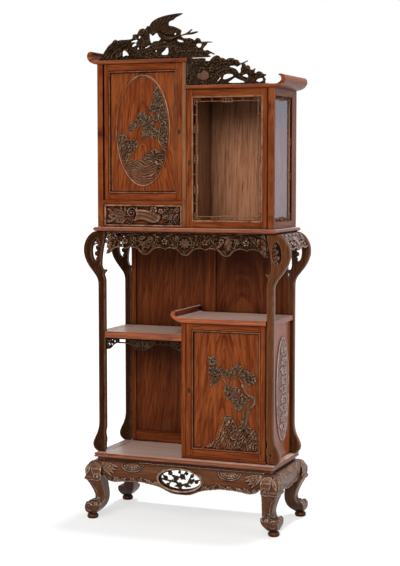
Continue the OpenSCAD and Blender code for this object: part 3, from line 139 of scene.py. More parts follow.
def grown_wood(name, tones, along="z", figure=1.0, rough=0.34, centre=(0.9, 0.0), lean=0.03, carved=None,
               worn=0.5, dusk=0.85, top_bleach_and_sheen=0.0, rails=None, shade=1.0, rub_and_highlight=(0.30, 0.15, 0.085), gloss=0.055,
               corners=1.5, deepen=0.75, recess=0.16, outside=None):
    """Polished hardwood. Its year rings are cut on a slant, so they run as arches along the board.

    along is the way of the grain, and centre is where the pith passes and how far behind the board; lean is
    how fast the rings widen along it. rails gives the two places across a frame between which its members
    lie crosswise, and then the two along it where the crosswise ones begin. carved is the stain of a relief,
    dusk the dark painted into its hollows, for old polish and painted shade, and worn and rub_and_highlight
    are the share and the colour of the paler paint on its ridges, for wear and painted highlights. corners
    and deepen say how much painted shade darkens it in corners and in recesses, recess how far that shade
    reaches, top_bleach_and_sheen how much its tops are painted paler, for bleaching and painted sheen, and
    outside tints its rear.
    """
    deep, mid, pale = (tuple(c * shade for c in tone) for tone in tones)
    net = Net(bpy.data.materials.new(name))
    place = net.out("Object", "TexCoord")
    axes = net.node("SeparateXYZ", Vector=place).outputs
    u, v, w = (Wire(net, axes[a]) for a in {"z": "ZXY", "x": "XZY", "y": "YXZ", "zy": "ZYX"}[along])
    if rails:
        between = (v > rails[0]) * (v < rails[1])
        if len(rails) > 2:
            between = between * net.math("MAXIMUM", u < rails[2], u > rails[3])
        joint = net.math("MINIMUM", *[abs(v - r) for r in rails[:2]]) < JOINT_HALF
        swap = (v - u) * between
        u, v = u + swap, v - swap
    board = net.out(0, "CombineXYZ", X=v, Y=w, Z=u * 0.16)
    sway = net.noise(board, 8.0, 2.0) - 0.5
    ripple = net.noise(board, 40.0, 2.0) - 0.5
    # Distance from the pith: sharp arches where it passes close behind the board, straight lines elsewhere
    aside = (v - centre[0]) + sway * 0.09
    behind = w * 0.5 + centre[1]
    radius = net.math("SQRT", aside * aside + behind * behind) + (u * lean + ripple * 0.004)
    ring = net.out(0, "CombineXYZ", X=radius, Y=u * 0.05)
    bands = net.noise(ring, 90.0, 3.0, 0.55)
    lines = net.noise(ring, 230.0, 2.0, 0.6)
    late = net.math("MINIMUM", (abs(lines - 0.5) * 4.0) ** 2.0, 1.0) * (lines > 0.5)
    fibres = net.out(0, "CombineXYZ", X=v, Y=w, Z=u * 0.03)
    fibre = net.noise(fibres, 520.0, 2.0, 0.6)
    streak = net.noise(fibres, 110.0, 3.0, 0.65)
    tone = -0.18 - 0.67 * figure
    for part, share in ((late, 0.95 * figure), (bands, 1.15 * figure), (streak, 0.85), (fibre, 0.55)):
        tone = part * share + tone
    colour = net.ramp(tone, [(0.22, pale), (0.56, mid), (1.0, deep)])
    # Slow changes of the stain: redder here, browner there
    broad = net.noise(board, 5.0, 2.0)
    flush = net.noise(fibres, 34.0, 2.0, 0.5)
    colour = net.mix(broad * 0.40, colour, scaled(mid, 0.60))
    colour = net.mix(flush * 0.38, colour, scaled(mid, 1.15, 0.72, 0.70))
    # Carved forms take the stain differently; hollows are painted darker for old polish and painted shade,
    # and ridges paler for wear and painted highlights
    if carved:
        stain = net.mix(streak, scaled(carved, 1.35), scaled(carved, 0.65))
        colour = net.mix(net.layer("raised") * 0.88, colour, stain)
    colour = net.mix(net.layer("hollow") * dusk, colour, scaled(deep, 0.14))
    patches = net.math("MULTIPLY_ADD", net.noise(place, 42.0, 1.0), 1.6 * worn, -0.3 * worn)
    colour = net.mix(net.layer("ridge") * net.math("MAXIMUM", patches, 0.1), colour, (*rub_and_highlight, 1))
    # Painted shade: darker in corners and joints, and darker still in recesses where light seldom reaches
    for reach, power, most in ((CORNER_REACH, 1.2, corners), (recess, 1.4, deepen)):
        if most:
            painted_shade = (1.0 - net.out("AO", "AmbientOcclusion", {"samples": 4}, Distance=reach)) ** power
            colour = net.mix(net.math("MINIMUM", painted_shade * most, 0.92), colour, scaled(deep, 0.22))
    if rails:
        colour = net.mix(joint * 0.75, colour, scaled(deep, 0.25))
    # Tops are painted paler, for bleaching and painted sheen of light on them
    if top_bleach_and_sheen:
        painted_bleach_and_sheen = (net.facing("Z") > 0.9) * ((broad + 0.40) * top_bleach_and_sheen)
        colour = net.mix(painted_bleach_and_sheen, colour, net.mix(streak, *BLEACH_AND_SHEEN))
    if outside:
        colour = net.mix(net.facing("Y") > 0.5, colour, net.mix(1.0, colour, (*outside, 1), "MULTIPLY"))
    pores = net.node("Bump", Strength=0.12, Distance=0.0004, Height=fibre)
    return net.finish(net.node("BsdfPrincipled", Base_Color=colour, Roughness=streak * 0.16 + (rough - 0.06),
                               Normal=pores, Specular_IOR_Level=gloss))


def metal(name, colour, rough):
    net = Net(bpy.data.materials.new(name))
    tarnish = net.noise(net.out("Object", "TexCoord"), 260.0, 4.0, 0.65)
    tone = net.ramp(tarnish, [(0.3, tuple(c * 0.45 for c in colour)), (0.7, colour)])
    bump = net.node("Bump", Strength=0.1, Distance=0.0003, Height=tarnish)
    return net.finish(net.node("BsdfPrincipled", Base_Color=tone, Roughness=tarnish * 0.3 + (rough - 0.1),
                               Normal=bump, Metallic=1.0))


def window_glass(name, ior):
    """Old cylinder glass: clear, faintly waved, with reflections of the room."""
    net = Net(bpy.data.materials.new(name))
    wave = net.noise(net.out("Object", "TexCoord"), 9.0, 1.5)
    bump = net.node("Bump", Strength=0.25, Distance=0.0012, Height=wave)
    gloss = net.node("BsdfGlossy", Color=(0.86, 0.85, 1.0, 1), Roughness=0.03, Normal=bump)
    clear = net.node("BsdfTransparent", Color=(0.97, 0.98, 0.98, 1))
    # Square to the eye it reflects nothing, and only its outer faces reflect
    mirrored = net.math("MAXIMUM", net.out(0, "Fresnel", IOR=ior, Normal=bump) - 0.012, 0.0)
    outer = 1.0 - net.out("Backfacing", "NewGeometry")
    return net.finish(net.node("MixShader", _0=mirrored * outer, _1=clear, _2=gloss))


# Half the width of the dark line at a frame's joints, and how far from a corner the painted corner shade
# reaches, in metres
JOINT_HALF = 0.0007
CORNER_REACH = 0.012
# The pale tones painted on tops, for bleaching and painted sheen of light on them
BLEACH_AND_SHEEN = (0.78, 0.60, 0.53, 1), (0.36, 0.22, 0.17, 1)
# Tones of the wood, from its latewood lines to its earlywood
RED = ((0.028, 0.006, 0.001), (0.132, 0.028, 0.006), (0.285, 0.079, 0.020))
DARK = ((0.026, 0.008, 0.003), (0.088, 0.029, 0.009), (0.170, 0.064, 0.024))
BLACK = ((0.010, 0.006, 0.003), (0.024, 0.013, 0.006), (0.050, 0.026, 0.012))
PALE = ((0.070, 0.028, 0.012), (0.245, 0.108, 0.054), (0.400, 0.205, 0.120))
INNER = ((0.050, 0.020, 0.009), (0.190, 0.082, 0.038), (0.300, 0.140, 0.070))
FRET = ((0.090, 0.042, 0.020), (0.220, 0.115, 0.062), (0.360, 0.215, 0.130))
PLAIN = ((0.20, 0.10, 0.05), (0.38, 0.20, 0.10), (0.52, 0.30, 0.17))
# Gloss of the parts that face aside, the colour painted on dark wood's ridges for wear and painted
# highlights, and what the two door reliefs and the parts of the base have in common
SHEEN = 0.30
RUB_AND_HIGHLIGHT = (0.48, 0.33, 0.24)
RELIEF = {"figure": 1.15, "lean": 0.15, "carved": (0.074, 0.044, 0.023), "worn": 1.1, "dusk": 0.95,
          "rub_and_highlight": (0.38, 0.25, 0.17)}
BASE = {"figure": 0.8, "worn": 1.0, "rub_and_highlight": RUB_AND_HIGHLIGHT, "dusk": 1.0}

red_up = grown_wood("red_wood_upright", RED)
red_across = grown_wood("red_wood_across", RED, along="x")
red_top = grown_wood("red_wood_top", RED, along="x", top_bleach_and_sheen=0.85, gloss=0.35, shade=1.25)
red_high_top = grown_wood("red_wood_high_top", RED, along="x", top_bleach_and_sheen=0.35, gloss=0.12, shade=1.25)
red_low_top = grown_wood("red_wood_low_top", RED, along="x", top_bleach_and_sheen=0.95, gloss=0.35, shade=1.7)
red_side = grown_wood("red_wood_side", RED, along="zy", centre=(-0.05, 0.03), lean=0.12, gloss=SHEEN)
red_mould = grown_wood("red_wood_moulding", RED, worn=0.8, rub_and_highlight=(0.36, 0.19, 0.11))
side_frame = grown_wood("red_wood_side_frame", RED, along="zy", rails=(-0.081, 0.081), gloss=0.08)
# Pale lilac ridges and a lighter tone: wear and painted reflection of light on the right-facing side
side_carved = grown_wood("red_wood_carved_side", RED, along="zy", carved=(0.19, 0.085, 0.052), gloss=SHEEN,
                         shade=1.5, worn=1.35, rub_and_highlight=(0.66, 0.50, 0.47), dusk=1.0)
drawer_wood = grown_wood("red_wood_drawer", RED, along="x", centre=(1.22, 0.03), carved=(0.085, 0.034, 0.016),
                         worn=1.1, rub_and_highlight=(0.44, 0.27, 0.19), dusk=1.0)
figured = grown_wood("figured_wood", RED, centre=(-0.178, 0.036), **RELIEF)
figured_cup = grown_wood("figured_wood_cupboard", RED, centre=(0.17, 0.045), **RELIEF)
pale_back = grown_wood("pale_wood_back", PALE, figure=0.9, shade=1.12, outside=(0.36, 0.22, 0.12))
dark_inside = grown_wood("dark_wood_inside", INNER, along="zy", figure=0.9, gloss=0.03)
# The backs are painted darker and their recess shade reaches far, as painted shade under the cabinet over
# them
figured_back = grown_wood("figured_wood_back", RED, centre=(0.14, 0.03), lean=0.12, shade=0.75, deepen=1.25,
                          recess=0.32)
dark_up = grown_wood("dark_wood_upright", DARK, figure=0.8)
# A darker copy of the dark upright wood, as painted shade on the left posts
dark_painted_shade = grown_wood("dark_wood_painted_shade", DARK, figure=0.8, shade=0.32, gloss=0.02)
post_aside = grown_wood("dark_wood_post_aside", DARK, along="zy", figure=0.6, gloss=0.5)
dark_across = grown_wood("dark_wood_across", DARK, along="x", gloss=0.10, **BASE)
dark_deep = grown_wood("dark_wood_fore_and_aft", DARK, along="y", gloss=0.2, **BASE)
dark_leg = grown_wood("dark_wood_leg", DARK, gloss=0.20, shade=0.95, deepen=1.1, **BASE)
dark_carved = grown_wood("dark_carved_wood", DARK, along="x", figure=0.6, worn=1.0, rub_and_highlight=(0.50, 0.34, 0.22),
                         shade=1.75, dusk=1.0)
# Near-white lilac ridges and a lighter tone: wear and painted highlights on the frets that face aside
dark_aside = grown_wood("dark_wood_aside", DARK, along="zy", figure=0.6, worn=1.1, rub_and_highlight=(0.60, 0.48, 0.46),
                        gloss=SHEEN, shade=1.3)
black_carved = grown_wood("black_carved_wood", BLACK, along="x", figure=0.6, rough=0.42, worn=1.1,
                          rub_and_highlight=(0.165, 0.090, 0.046), gloss=0.03)
fret_wood = grown_wood("fret_wood", FRET, figure=0.6, worn=0.6, corners=0.5, deepen=0)
plain_wood = grown_wood("plain_drawer_wood", PLAIN, along="y", rough=0.6)
glass = window_glass("door_glass", 1.20)
side_glass = window_glass("side_glass", 1.95)
brass = metal("aged_brass", (0.62, 0.45, 0.20), 0.35)
old_plate = metal("tarnished_plate", (0.060, 0.036, 0.020), 0.45)
steel = metal("worn_steel", (0.50, 0.49, 0.47), 0.4)


def door_wood(name, node, stile=29, rail=None):
    """Upright stiles with crosswise rails between them, in millimetres."""
    low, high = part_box(node)
    ends = (low[2] + rail * MM, high[2] - rail * MM) if rail else ()
    # A frame with rails, the lower back's, is painted darker for the shade under the cabinet
    return grown_wood(name, RED, rails=(low[0] + stile * MM, high[0] - stile * MM, *ends),
                      shade=0.7 if rail else 1.0)


def rows(text):
    """The rows of numbers in a text: one row is one word, with commas between its numbers."""
    return [tuple(float(number) for number in word.split(",")) for word in text.split()]


def path(text):
    return np.array(rows(text))


def parts(text):
    """The rows of each part of a text, with slashes between the parts."""
    return [rows(part) for part in text.split("/")]


def stems(text):
    """Rows that give a root, a tip and what follows them."""
    return [((a, b), (c, d), *rest) for a, b, c, d, *rest in rows(text)]


def smooth(points, steps=6, closed=False):
    """A smooth curve through the points."""
    p = np.asarray(points, float)
    p = np.concatenate([p[-1:], p, p[:2]] if closed else [p[:1], p, p[-1:]])
    t = (np.arange(steps) / steps)[:, None]
    curve = [0.5 * (2 * b + (c - a) * t + (2 * a - 5 * b + 4 * c - d) * t ** 2
                    + (3 * b - a - 3 * c + d) * t ** 3)
             for a, b, c, d in zip(p, p[1:], p[2:], p[3:])]
    return np.concatenate(curve if closed else [*curve, p[-1:]])


def oval(centre, a, b, n=72):
    turn = np.arange(n) * 2 * np.pi / n
    return np.stack([centre[0] + a * np.cos(turn), centre[1] + b * np.sin(turn)], 1)


def to_line(u, v, line):
    """Distance from every place to a drawn line, and where along it the nearest point is, from 0 to 1."""
    steps = np.hypot(*(line[1:] - line[:-1]).T)
    run = np.concatenate([[0.0], np.cumsum(steps)]) / max(steps.sum(), 1e-9)
    best, along = np.full(u.shape, 1e9), np.zeros(u.shape)
    for a, b, s0, s1 in zip(line[:-1], line[1:], run[:-1], run[1:]):
        d = b - a
        t = np.clip(((u - a[0]) * d[0] + (v - a[1]) * d[1]) / max(d @ d, 1e-9), 0, 1)
        gap = np.hypot(u - a[0] - t * d[0], v - a[1] - t * d[1])
        closer = gap < best
        best = np.where(closer, gap, best)
        along = np.where(closer, s0 + t * (s1 - s0), along)
    return best, along


def to_outline(u, v, outline):
    """Distance to a closed outline, positive inside it."""
    gap, _ = to_line(u, v, np.concatenate([outline, outline[:1]]))
    inside = np.zeros(u.shape, bool)
    for a, b in zip(outline, np.roll(outline, -1, 0)):
        crosses = (a[1] > v) != (b[1] > v)
        inside ^= crosses & (u < (b[0] - a[0]) * (v - a[1]) / (b[1] - a[1] + 1e-12) + a[0])
    return np.where(inside, gap, -gap)


def noise(u, v, scale, seed, octaves=1):
    """Smooth noise from 0 to 1, with features of that scale."""
    grid = np.random.default_rng(seed).random((64, 64))
    total, weight = 0.0, 0.0
    for octave in range(octaves):
        k = 2.0 ** octave
        p, q = u * k / scale + 17 * octave, v * k / scale + 5 * octave
        i, j = np.floor(p).astype(int), np.floor(q).astype(int)
        s, t = p - i, q - j
        s, t = s * s * (3 - 2 * s), t * t * (3 - 2 * t)
        low, top = (grid[i % 64, r % 64] * (1 - s) + grid[(i + 1) % 64, r % 64] * s for r in (j, j + 1))
        total = total + (low * (1 - t) + top * t) / k
        weight += 1 / k
    return total / weight


def bow(t):
    """Rounded profile, from 0 at the edge of a form to 1 at its crown."""
    t = np.clip(t, 0.0, 1.0)
    return t * (2.0 - t)


def cells(grid):
    """The values at the four corners of each cell of a grid."""
    return np.stack([grid[:-1, :-1], grid[:-1, 1:], grid[1:, 1:], grid[1:, :-1]], 2)


class Carving:
    """A carved face: heights in millimetres over a grid of places u across and v up."""

    def __init__(self, u0, u1, v0, v1, step=1.5, filled=False):
        self.step = step
        self.us = np.arange(u0, u1 + step / 2, step)
        self.vs = np.arange(v0, v1 + step / 2, step)
        self.u, self.v = np.meshgrid(self.us, self.vs)
        self.near = np.full(self.u.shape, 9.0 if filled else -9.0)
        self.high, self.raised = np.zeros((2, *self.u.shape))
        self.stained, self.rub_and_highlight = np.ones((2, *self.u.shape))

    def window(self, points, reach=0.0):
        """The part of the grid round some points."""
        margin = reach + 4 * self.step
        low, top = np.min(points, 0) - margin, np.max(points, 0) + margin
        at = tuple(slice(*np.searchsorted(places, (low[k], top[k])))
                   for k, places in ((1, self.vs), (0, self.us)))
        return at, self.u[at], self.v[at]

    def beside(self, line, reach):
        """The places round a line, their distances from it and how far along it they are."""
        at, u, v = self.window(line, reach)
        return at, *to_line(u, v, line)

    def within(self, u0, u1, v0, v1):
        """Distance to a rectangle's edges, positive inside it."""
        return np.minimum(np.minimum(self.u - u0, u1 - self.u), np.minimum(self.v - v0, v1 - self.v))

    def put(self, at, near, form, top=1.0, low=0.0):
        """Joins a form to the carving, near being the distance inside its edge; form goes from low to top."""
        high = low + (top - low) * form
        self.near[at] = np.maximum(self.near[at], near)
        self.high[at] = np.where(near > 0, np.maximum(self.high[at], high), self.high[at])
        self.raised[at] = np.maximum(self.raised[at], np.clip(near / 1.5, 0, 1))

    def trim(self, near, at=np.s_[:]):
        """Cuts away what is not inside that edge too."""
        self.near[at] = np.minimum(self.near[at], near)

    def pierce(self, outline):
        at, u, v = self.window(outline)
        self.trim(-to_outline(u, v, outline), at)

    def plate(self, outline, top, edge):
        at, u, v = self.window(outline)
        near = to_outline(u, v, outline)
        self.put(at, near, bow(near / edge), top)

    def bough(self, points, w0, w1, top, bark=0.0, low=0.0, steps=6):
        """A stem of tapering width, with or without bark."""
        at, gap, along = self.beside(smooth(points, steps), max(w0, w1) / 2)
        half = (w0 + (w1 - w0) * along) / 2
        body = bow(1 - gap / half)
        if bark:
            body = body * (1 - bark * noise(gap * 2.2 + 9, along * 14, 1.0, 5, 2) ** 0.8)
        self.put(at, half - gap, body, top, low)

    def boughs(self, text, top, **options):
        """Stems from the parts of a text, each with its two widths before its points."""
        for (w0, w1), *points in parts(text):
            self.bough(points, w0, w1, top, **options)

    def bead(self, points, width, top, closed=False, low=0.0):
        line = smooth(points, 6, closed) if len(points) < 40 else np.asarray(points)
        if closed:
            line = np.concatenate([line, line[:1]])
        at, gap, _ = self.beside(line, width / 2)
        self.put(at, width / 2 - gap, bow(1 - gap / (width / 2)), top, low)

    def bloom(self, centre, r, top, turn=0.3, petals=5, low=0.0):
        """An open flower with cupped petals round a domed heart."""
        at, u, v = self.window([centre], r)
        du, dv = u - centre[0], v - centre[1]
        gap, angle = np.hypot(du, dv), np.arctan2(dv, du) + turn
        lobe = np.abs(np.cos(angle * petals / 2))
        reach = r * (0.80 + 0.20 * lobe ** 0.7)
        out = gap / reach
        cup = 0.35 + 0.65 * np.clip(out / 0.75, 0, 1) ** 1.5
        cup = cup * np.clip((1 - out) / 0.16, 0, 1) ** 0.6 * (0.3 + 0.7 * lobe ** 0.8)
        heart = 0.95 * bow(1 - gap / (0.30 * r)) * (0.75 + 0.25 * np.cos(angle * 7) ** 2)
        self.put(at, reach - gap, np.maximum(cup, heart), top, low)

    def blooms(self, text, top, spin=None, **options):
        for u, v, r in rows(text):
            self.bloom((u, v), r, top, turn=0.3 if spin is None else u * spin, **options)

    def leaf(self, root, tip, width, top, curl=0.0, low=0.0, veins=5):
        """A pointed leaf from root to tip, hollowed along its midrib."""
        root, tip = np.array(root, float), np.array(tip, float)
        along = tip - root
        length = np.hypot(*along)
        side = np.array([-along[1], along[0]]) / length
        at, u, v = self.window([root, tip], width)
        p = ((u - root[0]) * along[0] + (v - root[1]) * along[1]) / length ** 2
        q = (u - root[0]) * side[0] + (v - root[1]) * side[1] - curl * width * np.sin(np.pi * p)
        half = width / 2 * np.sin(np.pi * np.clip(p, 0, 1) ** 0.75) * (1 + 0.10 * np.cos(p * veins * 12.6))
        near = np.where((p > 0) & (p < 1), half - np.abs(q), -np.abs(q) - length * np.maximum(-p, p - 1))
        out = np.abs(q) / np.maximum(half, 0.5)
        fold = (0.45 + 0.55 * out) * np.clip((1 - out) / 0.25, 0, 1) ** 0.7
        fold = fold * (0.85 + 0.15 * np.cos((p * veins - out * 0.9) * 2 * np.pi))
        rib = 0.7 * bow(1 - np.abs(q) / 1.3) * (p < 0.9)
        self.put(at, near, np.maximum(fold, rib), top, low)

    def leaves(self, text, top, **options):
        for root, tip, width in stems(text):
            self.leaf(root, tip, width, top, **options)

    def foliage(self, outline, top, seed, flow=0.6, pitch=7.2, low=0.0):
        """A drift of short needle tufts, some worn pale and some sunk, over dark ground."""
        outline = smooth(outline, 4, True)
        rng = np.random.default_rng(500 + seed)
        at, u, v = self.window(outline)
        ragged = to_outline(u, v, outline) + 3.0 * (noise(u, v, 7.0, seed) - 0.35)
        self.put(at, ragged, low + 0.2 * bow(ragged / 3))
        (u0, v0), (u1, v1) = outline.min(0), outline.max(0)
        spots = np.array([(p + (k % 2) * pitch / 2, q)
                          for k, q in enumerate(np.arange(v0, v1 + pitch, pitch * 0.84))
                          for p in np.arange(u0, u1 + pitch, pitch)])
        spots = spots + rng.uniform(-2.2, 2.2, spots.shape)
        room = to_outline(*spots.T, outline)
        drift = noise(*spots.T, 20.0, seed + 5)
        for (p, q), lift, inside in zip(spots, drift, room):
            size, fan = rng.uniform(4.8, 6.9), flow + rng.uniform(-1, 1)
            rise = min(rng.uniform(0.2, 1.0) * (0.5 + lift), 1.0)
            if inside < 1.0:
                continue
            at, u, v = self.window([(p, q)], size)
            gap = np.hypot(u - p, v - q)
            spread = np.arctan2(v - q + 0.4 * size * math.sin(fan), u - p + 0.4 * size * math.cos(fan)) - fan
            needles = 0.45 + 0.55 * np.abs(np.cos(3.5 * spread))
            self.put(at, size * (0.88 + 0.12 * np.cos(7 * spread)) - gap,
                     low + top * rise * needles * bow(1.05 - gap / size))

    def pines(self, text, top, seed, low=0.0):
        """Drifts of needles from the parts of a text, each with its flow and its pitch before its outline."""
        for i, ((flow, pitch), *outline) in enumerate(parts(text)):
            self.foliage(outline, top, seed + i, flow, pitch, low)

    def volute(self, centre, r, width, top, sense=1, start=0.0, turns=1.5, tail=None):
        """A rolled scroll, with a round eye, whose outer end may run on to the point tail."""
        t = np.linspace(0, 1, int(14 * turns) + 4)
        radius = r * (1 - 0.80 * t)
        angle = start + sense * turns * 2 * np.pi * t
        line = np.stack([centre[0] + radius * np.cos(angle), centre[1] + radius * np.sin(angle)], 1)
        if tail is not None:
            line = np.concatenate([smooth([tail, line[0]], 3)[:-1], line])
        at, gap, along = self.beside(line, width / 2)
        half = width / 2 * (1 - 0.35 * along)
        self.put(at, half - gap, bow(1 - gap / half), top)
        eye = r * 0.24
        at, u, v = self.window([centre], eye)
        gap = np.hypot(u - centre[0], v - centre[1])
        self.put(at, eye - gap, 0.9 * bow(1 - gap / eye), top)

    def rocks(self, text, top, seed, grain, slope=0.8):
        """Water-worn rock: broken layers that lie on a slope, with deep folds between them."""
        outline = smooth(path(text), 5, True)
        at, u, v = self.window(outline)
        bend = (noise(u, v, grain * 1.7, seed, 2) - 0.5) * grain
        across = v * math.cos(slope) - u * math.sin(slope) + 1.8 * bend
        layers = 1 - np.abs(np.sin(np.pi * across / (grain * 0.75)))
        fold = 1 - np.abs(2 * noise(u - bend, v + bend, grain * 0.8, seed + 2, 2) - 1)
        body = 0.8 * layers * (0.35 + 0.9 * noise(u, v, grain, seed + 1)) + 0.5 * fold ** 4 - 0.06
        near = to_outline(u, v, outline)
        self.put(at, near, np.clip(body, 0, 1) * bow(near / 4 + 0.25), top)

    def waves(self, outline, top, seed, pitch):
        """Rolling water: broken lines that swell into crests."""
        at, u, v = self.window(outline)
        near = to_outline(u, v, outline)
        sway = 7 * np.sin(u / 21 + 5 * noise(u, v, 60, seed)) + 15 * noise(u, v, 34, seed + 3, 2)
        crest = 1 - np.abs(np.sin(np.pi * (v + sway) / pitch)) ** 0.8
        swell = np.clip(1.7 * noise(u * 0.6, v, 17, seed + 7, 2) - 0.3, 0.1, 1)
        self.put(at, near, crest * swell * bow(near / 4), top)

    def groove(self, points, width, depth):
        """A closed line sunk into what is there."""
        line = smooth(points, 5, True)
        at, gap, _ = self.beside(np.concatenate([line, line[:1]]), width / 2)
        self.high[at] -= depth * bow(1 - gap / (width / 2))

    def tones(self, spread, depth):
        """Hollows and ridges, each from 0 to 1, for the dark polish and painted shade in one and the wear and
        painted highlight on the other.
        """
        blur = self.high.copy()
        for _ in range(max(1, int(2 * (spread / self.step) ** 2))):
            for axis in (0, 1):
                wide = np.pad(blur, [(1 - axis,) * 2, (axis,) * 2], mode="edge")
                low, mid, top = (np.take(wide, range(k, k + blur.shape[axis]), axis) for k in range(3))
                blur = (low + 2 * mid + top) / 4
        lift = (self.high - blur) / depth
        return np.clip(-lift, 0, 1) * self.stained, np.clip(lift * self.rub_and_highlight, 0, 1), self.raised

    def sample(self, u, v):
        """Height and raised mask at any places."""
        p = np.clip((u - self.us[0]) / self.step, 0, len(self.us) - 1.001)
        q = np.clip((v - self.vs[0]) / self.step, 0, len(self.vs) - 1.001)
        i, j = p.astype(int), q.astype(int)
        s, t = p - i, q - j
        within = (u >= self.us[0]) & (u <= self.us[-1]) & (v >= self.vs[0]) & (v <= self.vs[-1])
        read = [(1 - s) * (1 - t) * g[j, i] + s * (1 - t) * g[j, i + 1] + (1 - s) * t * g[j + 1, i]
                + s * t * g[j + 1, i + 1] for g in (self.high, self.raised)]
        return [np.where(within, r, 0.0) for r in read]

    def pierced(self, name, place, edge, back=None, spread=2.4, depth=0.8):
        """A closed mesh with holes where nothing is carved. Its face lies at edge plus the height."""
        inside = self.near > 0
        front = cells(np.arange(inside.size).reshape(inside.shape))[cells(inside).any(2)]
        # Places just outside the carving move onto its edge
        slope_v, slope_u = np.gradient(self.near, self.step)
        shift = np.where(inside, 0.0, -self.near / np.maximum(slope_u ** 2 + slope_v ** 2, 0.3))
        u, v = (places + np.clip(shift * slope, -self.step, self.step)
                for places, slope in ((self.u, slope_u), (self.v, slope_v)))
        high = np.where(inside, self.high + edge, edge)
        used, front = np.unique(front, return_inverse=True)
        front = front.reshape(-1, 4)
        u, v, high, *tones = (grid.ravel()[used] for grid in (u, v, high, *self.tones(spread, depth)))
        n = len(used)
        starts, ends = front.ravel(), np.roll(front, -1, 1).ravel()
        rim = ~np.isin(starts * n + ends, ends * n + starts)
        i, j = starts[rim], ends[rim]
        tones[0][i] = 0
        faces = np.concatenate([front, front[:, ::-1] + n, np.stack([j, i, i + n, j + n], 1)])
        rear = -high if back is None else np.full(n, float(back))
        points = np.concatenate([place(u, v, high), place(u, v, rear)])
        return build(name, points, faces.tolist(), [np.tile(tone, 2) for tone in tones])

    def board(self, name, place, back, spread=4.5, depth=1.5):
        """A closed board whose face carries the carving."""
        n = self.u.size
        ids = np.arange(n).reshape(self.u.shape)
        rim = np.concatenate([ids[0, :-1], ids[:-1, -1], ids[-1, :0:-1], ids[:0:-1, 0]])
        m = len(rim)
        rear = np.arange(m) + n
        walls = np.stack([np.roll(rim, -1), rim, rear, np.roll(rear, -1)], 1)
        u, v = self.u.ravel(), self.v.ravel()
        points = np.concatenate([place(u, v, self.high.ravel()),
                                 place(u[rim], v[rim], np.full(m, float(back)))])
        faces = np.concatenate([cells(ids).reshape(-1, 4), walls]).tolist() + [rear[::-1].tolist()]
        tones = [np.concatenate([tone.ravel(), np.zeros(m)]) for tone in self.tones(spread, depth)]
        return build(name, points, faces, tones)


def build(name, points, faces, tones, crease=42):
    """An object from points in metres, with its tones and with outward faces."""
    mesh = bpy.data.meshes.new(name)
    mesh.from_pydata(points.tolist(), [], faces)
    work = bmesh.new()
    work.from_mesh(mesh)
    bmesh.ops.recalc_face_normals(work, faces=work.faces)
    work.to_mesh(mesh)
    work.free()
    return dress(name, mesh, tones, crease)


def dress(name, mesh, tones, crease):
    for label, values in zip(("hollow", "ridge", "raised"), tones):
        layer = mesh.attributes.new(label, "FLOAT", "POINT")
        layer.data.foreach_set("value", np.ascontiguousarray(values, dtype=np.float32))
    mesh.shade_smooth()
    mesh.set_sharp_from_angle(angle=math.radians(crease))
    return add(name, mesh)


class Sculpture:
    """A rounded, evenly meshed copy of a CAD solid, in millimetres, that can be carved."""

    def __init__(self, node, polish):
        copy = add("blank", nodes[node].data.copy())
        remesh = copy.modifiers.new("even", "REMESH")
        remesh.mode = "VOXEL"
        remesh.voxel_size = VOXEL * MM
        seen = copy.evaluated_get(bpy.context.evaluated_depsgraph_get())
        self.mesh = bpy.data.meshes.new_from_object(seen)
        bpy.data.objects.remove(copy)
        self.mesh.materials.clear()
        n = len(self.mesh.vertices)
        flat = np.empty(n * 3, np.float32)
        self.mesh.vertices.foreach_get("co", flat)
        self.at = flat.reshape(n, 3).astype(float) / MM
        ends = np.empty(len(self.mesh.edges) * 2, np.int32)
        self.mesh.edges.foreach_get("vertices", ends)
        self.ends = ends.reshape(-1, 2)
        self.count = np.maximum(np.bincount(ends, minlength=n), 1)
        for _ in range(polish):
            self.at += 0.5 * (self.mean(self.at) - self.at)
            self.at -= 0.52 * (self.mean(self.at) - self.at)
        self.raised, self.lift = np.zeros((2, n))
        self.turn()

    def mean(self, values):
        """The average of each point's neighbours."""
        i, j = self.ends.T
        columns = values.reshape(len(values), -1)
        out = np.stack([np.bincount(i, c[j], len(c)) + np.bincount(j, c[i], len(c)) for c in columns.T], 1)
        return (out / self.count[:, None]).reshape(values.shape)

    def turn(self):
        """Moves the mesh's points to where they are now, and works out which way its surface looks."""
        self.mesh.vertices.foreach_set("co", (self.at * MM).astype(np.float32).ravel())
        self.mesh.update()
        flat = np.empty(self.at.size, np.float32)
        self.mesh.vertices.foreach_get("normal", flat)
        self.normal = flat.reshape(-1, 3).astype(float)
        for _ in range(2):
            self.normal = self.normal + self.mean(self.normal)
            self.normal /= np.maximum(np.linalg.norm(self.normal, axis=1, keepdims=True), 1e-9)

    def carve(self, carving, u, v, facing):
        """Presses a carving into the surface where it faces that way."""
        high, raised = carving.sample(u, v)
        weight = np.clip(facing * 1.6 - 0.3, 0, 1)
        self.lift += high * weight
        self.raised = np.maximum(self.raised, raised * weight)

    def done(self, name):
        self.at += self.normal * self.lift[:, None]
        self.turn()
        blur = self.lift
        for _ in range(9):
            blur = 0.5 * blur + 0.5 * self.mean(blur)
        # Raised and convex places are painted paler and sunk and concave ones darker, for wear and old polish
        # and as painted highlight and shade
        bend = np.einsum("ij,ij->i", self.at - self.mean(self.mean(self.at)), self.normal)
        lift = (self.lift - blur) / 0.7 + bend / 1.1
        tones = np.clip(-lift, 0, 1), np.clip(lift, 0, 1), self.raised
        return dress(name, self.mesh, tones, 50)


